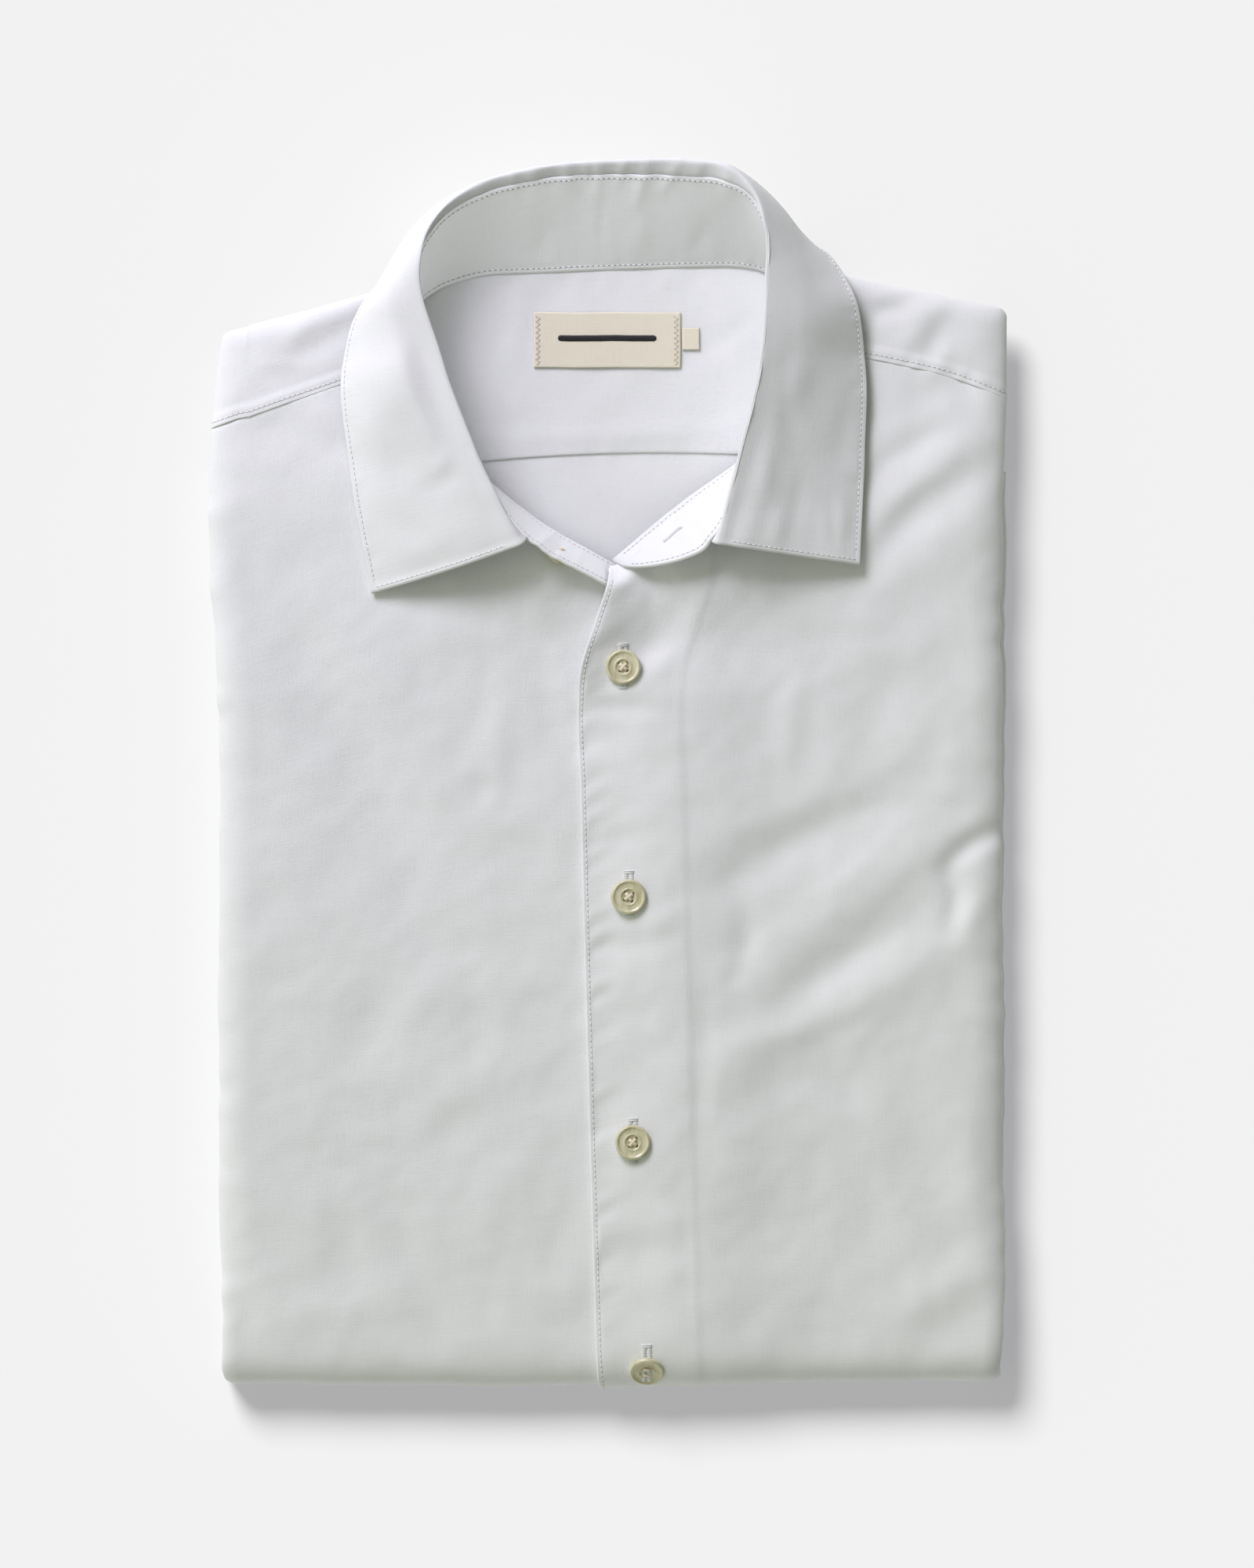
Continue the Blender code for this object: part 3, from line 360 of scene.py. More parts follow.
NECK_RIM, NECK_DIP = 17.0, 17.0
FRONT_CLEAR, YOKE_CLEAR = 2.6, 3.8
THROAT_LIFT, THROAT_RIDGE, THROAT_FALL = 5.6, 9.0, 13.0  # how high, how far off, how broad behind
THROAT_TURN, THROAT_SPAN = (3, 16), (12, 46)  # where it widens and dies out, along the neck seam
THROAT_TOP = (92, 104)  # the y where it ends under the leaves
THROAT_HELD = 4.0  # the left front's corner is held up from this much further in
THROAT_EDGE, THROAT_REACH = 4.4, 11.0  # the stand lifts the free edge below the throat
THROAT_CLEAR = (3, 10)  # but not where the left tab leaves the neck seam
THROAT_CORNER = 0.5  # the left front's corner stands over the end of the right tab
OPEN_BACK, BEHIND_ALL = 168.0, 205.0
YOKE_SEAM = 112.0
SEAM_BOW = (18.0, 0.0008)  # the inner seam is highest at this x and bows down by so much

# The soft folds that lie in the cloth: from one end to the other, how far each bows to its
# left, its half width, and how high it stands (a trough is below 0). One with a lean is
# steeper on its right-hand side.
Fold = namedtuple("Fold", "x0 y0 x1 y1 bow spread rise lean")
FOLDS = [
    # The left chest is pulled from the side fold towards the placket.
    Fold(106, -8, 30, -43, -3, 8.5, -1.9, 0),
    Fold(116, -24, 52, -70, -4, 9, 1.5, 0),
    Fold(106, -52, 58, -86, -3, 7, -1.2, 0),
    Fold(134, -50, 38, -100, 5, 9, 1.3, 0),
    Fold(140, -20, 118, -34, -2, 4.5, -2.0, -0.4),
    Fold(119, -32, 120, -54, 2, 4, -1.1, 0),
    Fold(132, -42, 124, -58, -1, 4.5, 0.8, 0),
    Fold(46, -38, 43, -76, 4, 5, -0.8, 0),
    Fold(33, -64, 31, -126, 2, 4.5, -0.6, 0),
    Fold(62, -90, 38, -97, -2, 6, 0.6, 0),
    Fold(94, -84, 60, -96, 1, 5, -0.4, 0),
    Fold(80, -102, 90, -124, 0, 6, -0.5, 0),
    Fold(54, -111, 38, -119, 0, 6, -0.5, 0),
    Fold(68, 34, 63, -2, -3, 5, 0.7, 0),
    Fold(112, 44, 90, 6, -2, 8, -0.5, 0),
    Fold(104, 30, 114, 52, 0, 6, 0.4, 0),
    Fold(106, -120, 122, -160, -4, 10, -0.9, 0),
    Fold(88, -140, 98, -168, 0, 7, -0.5, 0),
    Fold(66, -154, 36, -165, 0, 9, -0.7, 0),
    Fold(126, -124, 127, -160, 0, 6, 0.5, 0),
    Fold(138, -166, 94, -190, 2, 7, 0.9, 0),
    Fold(128, -190, 106, -200, 0, 7, -0.6, 0),
    Fold(72, -178, 58, -194, 0, 6, 0.3, 0),
    Fold(52, -176, 36, -190, 0, 6, 0.35, 0),
    Fold(27, -150, 28, -190, 0, 4, -0.35, 0),
    Fold(84, 10, 58, -22, 3, 8, 0.4, 0),
    Fold(48, 24, 40, -14, 2, 7, -0.35, 0),
    Fold(124, 20, 118, -12, 0, 7, 0.4, 0),
    Fold(96, -26, 70, -44, 1, 4, 0.3, 0),
    # Slack runs from the collar point to the left side.
    Fold(88, 101, 118, 122, 1, 5, -0.9, 0),
    Fold(92, 86, 131, 118, 2, 5.5, 0.9, 0),
    Fold(90, 73, 136, 110, 3, 6.5, -1.1, 0),
    Fold(92, 58, 134, 92, 3, 8, 0.6, 0),
    Fold(102, 130, 132, 138, 1, 7, -0.6, 0),
    # The right chest lies flatter.
    Fold(-131, 76, -58, -58, 7, 13, -1.8, 0),
    Fold(-104, 60, -70, -8, 5, 10, 0.7, 0),
    Fold(-24, 43, -17, 8, -2, 4.5, -0.4, 0),
    Fold(-18, 46, -12, 18, 0, 4, 0.3, 0),
    Fold(-38, 18, -40, -12, 1, 5.5, 0.45, 0),
    Fold(-31, 14, -33, -10, 0, 5, -0.4, 0),
    Fold(-36, 32, -62, -16, 4, 6, 0.45, 0),
    Fold(-42, 34, -53, 5, 2, 5, -0.3, 0),
    Fold(-52, -2, -40, -8, 0, 6, -0.4, 0),
    Fold(-70, 55, -42, 50, 0, 9, 0.7, 0),
    Fold(-72, -22, -54, -66, 2, 7, 0.4, 0),
    Fold(-78, -70, -95, -112, 2, 8, -0.6, 0),
    Fold(-66, -66, -70, -100, 0, 7, 0.35, 0),
    Fold(-50, -66, -46, -96, 1, 6, -0.45, 0),
    Fold(-32, -78, -16, -84, 0, 6, -0.35, 0),
    Fold(-38, -102, -70, -124, 0, 8, 0.6, 0),
    Fold(-42, -112, -62, -134, 0, 7, -0.5, 0),
    Fold(-26, -107, -10, -113, 0, 7, -0.4, 0),
    Fold(-92, -152, -90, -178, 0, 7, -0.45, 0),
    Fold(-70, -156, -70, -180, 0, 6, -0.35, 0),
    Fold(-16, -152, -19, -174, 0, 6, -0.5, 0),
    Fold(-28, -132, -48, -176, -3, 8, 0.4, 0),
    Fold(-126, -196, -74, -184, 2, 8, 0.8, 0),
    Fold(-132, -158, -127, -204, 0, 7, -0.8, 0),
    Fold(-130, 84, -120, 54, 0, 7, -0.6, 0),
    Fold(-132, 119, -110, 121, 0, 6, -0.6, 0),
    Fold(-106, 124, -88, 129, 0, 6, 0.5, 0),
    Fold(-98, 118, -84, 110, 0, 6, -0.4, 0),
    Fold(-112, -20, -102, -60, -2, 8, 0.35, 0),
    Fold(-118, 30, -112, -6, 0, 8, 0.3, 0),
    # The placket, which the stand lifts at the throat.
    Fold(13, 63, -2, 49, 1, 3.5, 0.6, 0),
    Fold(50, 66, 15, 60, 0, 9, 2.2, 0),
    Fold(-30, 57, -6, 58, 0, 8, 1.4, 0),
    Fold(30, 66, 10, 45, 2, 6, -0.9, 0),
    Fold(-8, 27, 12, 30, 0, 2.8, 0.45, 0),
    Fold(-8, 21, 20, 22, 1, 3, -0.45, 0),
    Fold(-9, 40, 2, 46, 0, 3, -0.4, 0),
    Fold(12, 34, 28, 46, 0, 4, 0.5, 0),
    Fold(-8, -28, 18, -17, 1, 4, -0.35, 0),
    Fold(12, -53, 28, -46, 0, 4, 0.45, 0),
    Fold(-7, -60, 26, -57, -1, 4, -0.4, 0),
    Fold(-6, -118, 8, -107, 0, 4, -0.35, 0),
    Fold(4, -96, 24, -110, 0, 4, 0.35, 0),
    # Both shoulders.
    Fold(-99, 165, -118, 147, 1, 4.5, 0.8, 0),
    Fold(-88, 160, -109, 147, 2, 4.5, -0.8, 0),
    Fold(-122, 143.5, -105, 143, 0, 2.6, 0.3, 0),
    Fold(-88, 166, -83, 156, 0, 2.6, -0.4, 0),
    Fold(-131, 156, -124, 146, 0, 5, -0.5, 0),
    Fold(90, 160, 110, 167, 0, 4, -0.9, 0),
    Fold(100, 147, 118, 166, 0, 4.5, 0.7, 0),
    Fold(118, 158, 108, 141, 0, 3.6, -0.5, 0),
    Fold(122, 152, 112, 139, 0, 3, 0.4, 0),
    Fold(131, 156, 122, 144, 0, 4, 0.3, 0),
]
TAIL_FOLDS = [
    Fold(-120, -190, -60, -120, 6, 10, 0.5, 0),
    Fold(-90, -60, -50, 20, -4, 9, 0.5, 0),
    Fold(-118, -20, -106, 60, 3, 8, 0.4, 0),
    Fold(-60, 60, -34, 110, 0, 8, 0.4, 0),
    Fold(118, -180, 70, -110, -5, 10, 0.5, 0),
    Fold(60, -80, 104, -20, 6, 9, 0.5, 0),
    Fold(112, 20, 70, 80, 4, 8, 0.5, 0),
    Fold(44, 10, 50, 84, 0, 7, 0.4, 0),
    Fold(-30, -170, -26, -70, 3, 7, 0.4, 0),
    Fold(34, -186, 60, -150, 0, 8, 0.4, 0),
]


def smooth(start, end, value):
    """0 before start, 1 after end, and an S-curve between them."""
    t = np.clip((np.asarray(value, float) - start) / (end - start), 0.0, 1.0)
    return t * t * (3 - 2 * t)


def along(knots, values, at):
    """A smooth curve through values at the knots, read at the places at."""
    knots, values = np.asarray(knots, float), np.asarray(values, float)
    slopes = np.gradient(values, knots, axis=0)
    at = np.clip(np.asarray(at, float), knots[0], knots[-1])
    i = np.clip(np.searchsorted(knots, at, side="right") - 1, 0, len(knots) - 2)
    step = knots[i + 1] - knots[i]
    t = (at - knots[i]) / step
    if values.ndim > 1:
        step, t = step[..., None], t[..., None]
    return (
        values[i] * (1 + 2 * t) * (1 - t) ** 2
        + values[i + 1] * t**2 * (3 - 2 * t)
        + step * (slopes[i] * t * (1 - t) ** 2 - slopes[i + 1] * t**2 * (1 - t))
    )


def column(rows, knot, value, at):
    """Reads one named column of a table against another, smoothly."""
    pairs = sorted((getattr(r, knot), getattr(r, value)) for r in rows)
    return along([p[0] for p in pairs], [p[1] for p in pairs], at)


def uneven(at, pitch, seed):
    """A smooth wander between -1 and 1 that turns about once in every pitch."""
    knots = np.random.default_rng(seed).uniform(-1, 1, 2048)
    place = np.asarray(at, float) / pitch + 1000
    i = np.floor(place).astype(int)
    t = place - i
    t = t * t * (3 - 2 * t)
    return knots[i] * (1 - t) + knots[i + 1] * t


def rumple(x, y, pitch, seed):
    """A smooth unevenness between -1 and 1, about one bump to every pitch each way."""
    knots = np.random.default_rng(seed).uniform(-1, 1, (128, 128))
    u, v = x / pitch + 60, y / pitch + 60
    i, j = np.floor(u).astype(int), np.floor(v).astype(int)
    u, v = smooth(0, 1, u - i), smooth(0, 1, v - j)
    low = knots[i, j] * (1 - u) + knots[i + 1, j] * u
    high = knots[i, j + 1] * (1 - u) + knots[i + 1, j + 1] * u
    return low * (1 - v) + high * v


def puckers(run, off, pitch, reach, rise, seed):
    """Small ridges along a seam, that die out with the distance off it."""
    return rise * uneven(run, pitch, seed) * np.exp(-((off / reach) ** 2))


def lengths_along(points):
    """How far along a line of points each of them is."""
    return np.concatenate([[0], np.cumsum(np.linalg.norm(np.diff(points, axis=0), axis=1))])


def collar_curve(name, tabs=False):
    """One of the collar's curves as points, at the same stations for every curve."""
    crest = np.array([s.crest for s in COLLAR], float)
    points = [getattr(s, name) for s in COLLAR]
    if name in ("neck", "seam"):
        points = [getattr(RIGHT_TAB, name), *points, getattr(LEFT_TAB, name)]
        crest = np.vstack([crest[0] + TAB_REACH[0], crest, crest[-1] + TAB_REACH[1]])
    length = lengths_along(crest)
    if name not in ("neck", "seam"):
        return along(length, points, np.linspace(0, length[-1], LEAF_STATIONS))
    at = np.linspace(length[1], length[-2], LEAF_STATIONS)
    if tabs:
        before = np.linspace(0, length[1], TAB_STATIONS + 1)[:-1]
        after = np.linspace(length[-2], length[-1], TAB_STATIONS + 1)[1:]
        at = np.concatenate([before, at, after])
    return along(length, points, at)


def neckline(outwards):
    """The neck seam in plan, moved outwards, with the back of the neck left open to +Y."""
    ring = collar_curve("neck", tabs=True)[:, :2]
    tangent = np.gradient(ring, axis=0)
    tangent /= np.linalg.norm(tangent, axis=1)[:, None]
    return ring + outwards * np.stack([-tangent[:, 1], tangent[:, 0]], axis=1)


NECK_RING = neckline(0.0)


def opening(outwards, widest=0.0):
    """Plan outline of the neck opening, which stays open behind the back of the neck."""
    ring = neckline(outwards)
    wide = ring[:, 1] > YOKE_SEAM - 6
    ring[wide, 0] = np.sign(ring[wide, 0]) * np.maximum(np.abs(ring[wide, 0]), widest)
    right = sorted((p for p in ring if p[0] < 0 and p[1] < OPEN_BACK), key=lambda p: p[1])
    left = sorted((p for p in ring if p[0] > 0 and p[1] < OPEN_BACK), key=lambda p: -p[1])
    return np.array([*right, (right[-1][0], BEHIND_ALL), (left[0][0], BEHIND_ALL), *left])


def to_line(x, y, line):
    """For points in plan: how far off a line of points they are, and how far along it."""
    run = lengths_along(line)
    apart = np.hypot(x[..., None] - line[:, 0], y[..., None] - line[:, 1])
    nearest = apart.argmin(axis=-1)
    return np.take_along_axis(apart, nearest[..., None], axis=-1)[..., 0], run[nearest]


def fold_relief(x, y, folds):
    """Height that soft folds add at each point."""
    total = np.zeros(np.broadcast(x, y).shape)
    for f in folds:
        ax, ay = f.x1 - f.x0, f.y1 - f.y0
        length = math.hypot(ax, ay)
        # Along and across the straight line between the fold's ends, then bent to its bow.
        t = ((x - f.x0) * ax + (y - f.y0) * ay) / length**2
        off = (-(x - f.x0) * ay + (y - f.y0) * ax) / length
        inside = np.clip(t, 0, 1)
        off = off - 4 * inside * (1 - inside) * f.bow
        past = (t - inside) * length
        fade = np.sin(np.pi * (0.12 + 0.76 * inside))
        across = off / f.spread
        shape = np.exp(-(across**2) - (past / f.spread) ** 2)
        total = total + f.rise * fade * shape * (1 + f.lean * np.clip(across, -1, 1))
    return total


def body_height(y):
    return STACK - SHOULDER_DROP * smooth(85, 165, y)


def chest(x, y):
    """Height of the panels' upper face: the body, its dip to the neckline, and its folds."""
    x, y = np.broadcast_arrays(np.asarray(x, float), np.asarray(y, float))
    out, _ = to_line(x, y, NECK_RING[::3])
    rim = NECK_RIM - 1.8 * smooth(140, 175, y)
    dip = (body_height(y) - rim) * np.exp(-((out / NECK_DIP) ** 2))
    handled = 0.38 * rumple(x, y, 15.0, 3) + 0.13 * rumple(x, y, 6.0, 4)
    return body_height(y) - dip + fold_relief(x, y, FOLDS) + handled


def throat_lift(side, x, y):
    """How much higher the stand holds a panel below the throat, in a ridge round the neck seam."""
    out, run = to_line(x, y, NECK_RING[::3])
    whole = np.linalg.norm(np.diff(NECK_RING[::3], axis=0), axis=1).sum()
    near_end = np.minimum(run, whole - run)
    along_ring = smooth(*THROAT_TURN, near_end)
    ridge = THROAT_RIDGE * (0.45 + 0.55 * along_ring)
    corner = THROAT_HELD * (1 - along_ring) if side > 0 else 0.0
    fall = np.exp(-((np.maximum(out - ridge, 0) / THROAT_FALL) ** 2))
    rise = smooth(0.8, ridge + corner, out + corner) * fall
    lift = THROAT_LIFT * (0.85 + 0.15 * along_ring)
    return lift * rise * (1 - smooth(*THROAT_SPAN, near_end)) * (1 - smooth(*THROAT_TOP, y))


def fold_section(angle):
    """The bottom fold's section: how far out and how far up it is, as shares of its roll."""
    out, up = math.sin(angle), math.cos(angle)
    return out**FOLD_SQUARENESS, math.copysign(abs(up) ** FOLD_SQUARENESS, up)


def looseness(y, under):
    """1 where the side roll is full, and 0 where it is pinched round the bottom fold."""
    if under not in (0.0, 1.0):
        return np.zeros(np.shape(y))
    return smooth(FOLD_ROLL, FOLD_ROLL + PINCH_LENGTH, y - FOLD_LINE[0].fold)


def placket_depth(side, under, y):
    """How deep a front lies along the placket: the left laps over the right by a step."""
    sunk = PLACKET_STEP * smooth(0.35, 0.95, under) + np.zeros(np.shape(y))
    if under == 1.0:
        sunk = sunk + BUTTON_HOLLOW * smooth(-196, -175, y)
    return sunk - PLACKET_STEP if side > 0 else sunk


# A column of a front: how far it is from the free edge, or its share of what follows to the
# side; how deep it is tucked under; its turn round the side fold; and its way back inside.
Column = namedtuple("Column", "offset share tuck turn inward")
PLACKET_ZONE = 46.0


def front_columns():
    made = [Column(o, 0, 2 * EDGE_TURN, 0, 0) for o in (9.0, 6.0, 3.5, 2.0, 1.2)]
    for a in np.linspace(0, math.pi, 8):
        made.append(Column(EDGE_TURN * (1 - math.sin(a)), 0, EDGE_TURN * (1 + math.cos(a)), 0, 0))
    near = [0.8, 1.2, 1.7, 2.1, 2.5, 2.9, 3.4, 4.2]
    made += [Column(o, 0, 0, 0, 0) for o in near + list(np.arange(5.4, PLACKET_ZONE, 1.27))]
    made += [Column(PLACKET_ZONE, t, 0, 0, 0) for t in np.linspace(0, 1, 62)[:-1]]
    made += [Column(PLACKET_ZONE, 1, 0, t, 0) for t in np.linspace(0, math.pi, 20)]
    made += [Column(PLACKET_ZONE, 1, 0, math.pi, i) for i in (2.0, 4.0, SIDE_RETURN)]
    return Column(*(np.array(v, float) for v in zip(*made)))


def front_x(side, y, under, cols):
    """x of every column at its own y, and the free edge's x there."""
    upper = column(SIDES, "y", "left" if side > 0 else "right", y)
    lower = column(SIDES, "y", "lower_left" if side > 0 else "right", y)
    edge = upper + (lower - upper) * under
    waver = 0.40 * uneven(y, 6.5, 15 + side) + 0.45 * uneven(y, 16.0, 18 + side)
    edge = edge + waver * (1 - smooth(90, 112, y))
    free = column(FRONT_EDGE, "y", "x", y)
    free = free + (UNDER_EDGE_X - free) * under
    roll = CORNER_ROLL + (SIDE_ROLL - CORNER_ROLL) * looseness(y, under)
    start = (free if side > 0 else free + BUTTON_STAND) + side * cols.offset
    flat = start + (edge - side * roll - start) * cols.share
    rolled = edge - side * (roll * (1 - np.sin(cols.turn)) + cols.inward)
    return np.where(cols.share < 1, flat, rolled), free


def edge_relief(x, y, off):
    """The left front along its free edge: rim, stitched groove, puckers, and its lift at the throat."""
    rim = RIM_RISE * (1 - smooth(0.7, 1.6, off))
    rim = rim - RIM_GROOVE * np.exp(-(((off - GROOVE_OFF) / 0.45) ** 2))
    fine = puckers(y - 0.45 * off, np.maximum(off - 4, 0), 4.2, 6.0, 0.26, 13)
    broad = puckers(y - 0.22 * off, np.maximum(off - 22, 0), 9.5, 12.0, 0.42, 14)
    corner = THROAT_CORNER * np.exp(-((x + 1) ** 2 + (y - 67) ** 2) / 64)
    crown = PLACKET_CROWN * smooth(0, CROWN_RISE, off) * (1 - smooth(FACING, FACING + CROWN_FALL, off))
    crown = crown * (1 - smooth(*CROWN_END, y))
    clear = smooth(*THROAT_CLEAR, np.hypot(x - LEFT_TAB.neck[0], y - LEFT_TAB.neck[1]))
    stands = THROAT_EDGE * np.exp(-((off / THROAT_REACH) ** 2)) * smooth(24, 42, y) * clear
    return rim + (fine + broad) * smooth(0.5, 3.5, off) + corner + crown + stands


CHEST_ROWS = 250
FOLD_ROWS = 22
TAIL_ROWS = 110
TUCKED_ROWS = (4.0, 2.0, 0.8)  # the panel runs on under the yoke


def front_grid(side):
    """The outer face of one front. side is -1 for the wearer's right and 1 for the left."""
    cols = front_columns()
    near_140 = np.full(len(cols.turn), 140.0)
    top_x, _ = front_x(side, near_140, 0.0, cols)
    top_x, _ = front_x(side, column(SHOULDERS, "x", "seam", top_x), 0.0, cols)
    fold_x, _ = front_x(side, np.full(len(cols.turn), FOLD_LINE[1].fold), 0.5, cols)
    seam = column(SHOULDERS, "x", "seam", top_x) - YOKE_GAP
    end = column(FOLD_LINE, "x", "fold", fold_x) + FOLD_ROLL
    hem = TAIL_HEM - TAIL_CURVE * smooth(20, 140, np.abs(fold_x))
    rows = []
    for past in TUCKED_ROWS:
        rows.append((seam + past, STACK - 0.9 * smooth(0.5, 2.0, past), 0.0, -1.0, 0.0, 1.0))
    for t in np.linspace(0, 1, CHEST_ROWS):
        rows.append((seam + (end - seam) * t, STACK, 0.0, -1.0, 0.0, 1.0))
    for angle in np.linspace(0, math.pi, FOLD_ROWS + 2)[1:-1]:
        across, up = math.sin(angle) / FOLD_ROLL, -math.cos(angle) / MIDDLE
        size = math.hypot(across, up)
        out, raised = fold_section(angle)
        y = end - FOLD_ROLL * out
        z = MIDDLE * (1 + raised)
        hold = max(0.0, math.cos(angle)) ** 2
        rows.append((y, z, across / size, up / size, (1 - math.cos(angle)) / 2, hold))
    for t in np.linspace(0, 1, TAIL_ROWS) ** 1.15:
        rows.append((end + (hem - end) * t, 0.0, 0.0, 1.0, 1.0, 0.0))
    grid = np.zeros((len(rows), len(cols.turn), 3))
    for r, (y, height, in_y, in_z, under, holding) in enumerate(rows):
        x, free = front_x(side, y, under, cols)
        thick = (body_height(y) if under == 0 else STACK) - MIDDLE - HALF_GAP / 2
        thick = PINCHED + (thick - PINCHED) * looseness(y, under)
        depth = thick / 2 * (1 - np.cos(cols.turn))
        hold = (1 + np.cos(cols.turn)) / 2
        if under == 0:
            depth = depth + STACK - body_height(y)
        off_edge = np.abs(x - free)
        if holding > 0:
            relief = chest(x, y) + throat_lift(side, x, y) - body_height(y)
            relief = relief + puckers(x + 0.2 * y, seam - y, 9.0, 13.0, 0.35, 26)
            if side > 0:
                relief = relief + edge_relief(x, y, off_edge)
            depth = depth - relief * hold * holding
        elif under == 1:
            lying = 0.4 + 0.25 * rumple(x, y, 14.0, 28) + fold_relief(x, y, TAIL_FOLDS)
            depth = depth + np.clip(lying, 0, 0.95) * hold * smooth(end, end + 25, y)
        lap = placket_depth(side, under, y)
        if side > 0:
            eased = 0.25 * smooth(FACING - 1, FACING + 2, off_edge)
            eased = eased + 0.75 * smooth(FACING, FACING + 34, off_edge)
            depth = depth + lap * (1 - eased) * hold
        else:
            depth = depth + lap * smooth(free - 12, free - 2, x)
        depth = depth + cols.tuck
        grid[r, :, 0] = x
        grid[r, :, 1] = y + depth * in_y + 1.2 * uneven(x, 11.0, 19) * under * (1 - under)
        grid[r, :, 2] = height + depth * in_z
    return grid if side < 0 else grid[:, ::-1]


def cut_outline(grid, outline, pitch, above=-1.0):
    """Moves the grid's points that lie just inside an outline onto it. Returns which faces to keep."""
    x, y = grid[..., 0], grid[..., 1]
    dense = np.vstack([
        a + (b - a) * np.linspace(0, 1, max(2, int(np.linalg.norm(b - a) / 0.5)))[:-1, None]
        for a, b in zip(outline, np.roll(outline, -1, axis=0))
    ])
    inside = np.zeros(x.shape, bool)
    for a, b in zip(outline, np.roll(outline, -1, axis=0)):
        if a[1] == b[1]:
            continue
        crosses = (a[1] > y) != (b[1] > y)
        inside ^= crosses & (x < (b[0] - a[0]) * (y - a[1]) / (b[1] - a[1]) + a[0])
    inside &= grid[..., 2] > above
    near = np.zeros(x.shape, int)
    apart = np.full(x.shape, 1e9)
    for r in np.flatnonzero(inside.any(axis=1)):
        away = np.hypot(x[r][:, None] - dense[:, 0], y[r][:, None] - dense[:, 1])
        near[r] = away.argmin(axis=1)
        apart[r] = away.min(axis=1)
    rim = inside & (apart < 1.3 * pitch)
    grid[rim, 0:2] = dense[near[rim]]
    gone = inside & ~rim
    corners = [np.s_[:-1, :-1], np.s_[:-1, 1:], np.s_[1:, 1:], np.s_[1:, :-1]]
    lost = np.any([gone[c] for c in corners], axis=0)
    return ~lost & ~np.all([inside[c] for c in corners], axis=0)


def sheet_mesh(name, grid, keep=None):
    """A cloth piece from a grid of points, with its cut laid out flat as the UV map."""
    rows, cols = grid.shape[:2]
    index = np.arange(rows * cols).reshape(rows, cols)
    quads = np.stack([index[:-1, :-1], index[:-1, 1:], index[1:, 1:], index[1:, :-1]], axis=-1)
    quads = quads[keep] if keep is not None else quads.reshape(-1, 4)
    steps = [np.linalg.norm(np.diff(grid, axis=a), axis=2).mean(axis=1 - a) for a in (0, 1)]
    down, across = (np.concatenate([[0], np.cumsum(s)]) * MM for s in steps)
    used, faces = np.unique(quads, return_inverse=True)
    faces = faces.reshape(-1, 4)
    mesh = bpy.data.meshes.new(name)
    mesh.from_pydata((grid.reshape(-1, 3)[used] * MM).tolist(), [], faces.tolist())
    cut = np.stack([across[used % cols], down[used // cols]], axis=1)
    layer = mesh.uv_layers.new(name="cut")
    layer.uv.foreach_set("vector", cut[faces.ravel()].astype(np.float32).ravel())
    mesh.shade_smooth()
    return mesh


def add_piece(name, mesh, material):
    piece = bpy.data.objects.new(name, mesh)
    bpy.context.scene.collection.objects.link(piece)
    mesh.materials.append(material)
    return piece


def add_front(name, side):
    grid = front_grid(side)
    keep = cut_outline(grid, opening(FRONT_CLEAR), PITCH, above=MIDDLE)
    mesh = sheet_mesh(name, grid, keep)
    piece = add_piece("shirt_" + name, mesh, shirting)
    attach(piece, "root")
    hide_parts(name)
    return grid


right_front = add_front("front_right", -1)
left_front = add_front("front_left", 1)

# ---- Yoke -----------------------------------------------------------------------------------
# One piece of the same cloth over both shoulders. It laps over the fronts, with its allowance
# pressed under it, rolls over the shoulder fold and runs on behind the neck.
SHOULDER_ROLL = 7.0
YOKE_RETURN, YOKE_BEHIND = 12.0, 74.0
YOKE_BACK = MIDDLE + HALF_GAP / 2
CLOTH = 1.0
LAP = 0.55  # height of the lapped seam allowance
LAP_WIDTH = 6.0
YOKE_TOP_ROWS, RIDGE_ROWS = 34, 22
YOKE_STITCH = 1.5
CORNER_ROUND = 3.0


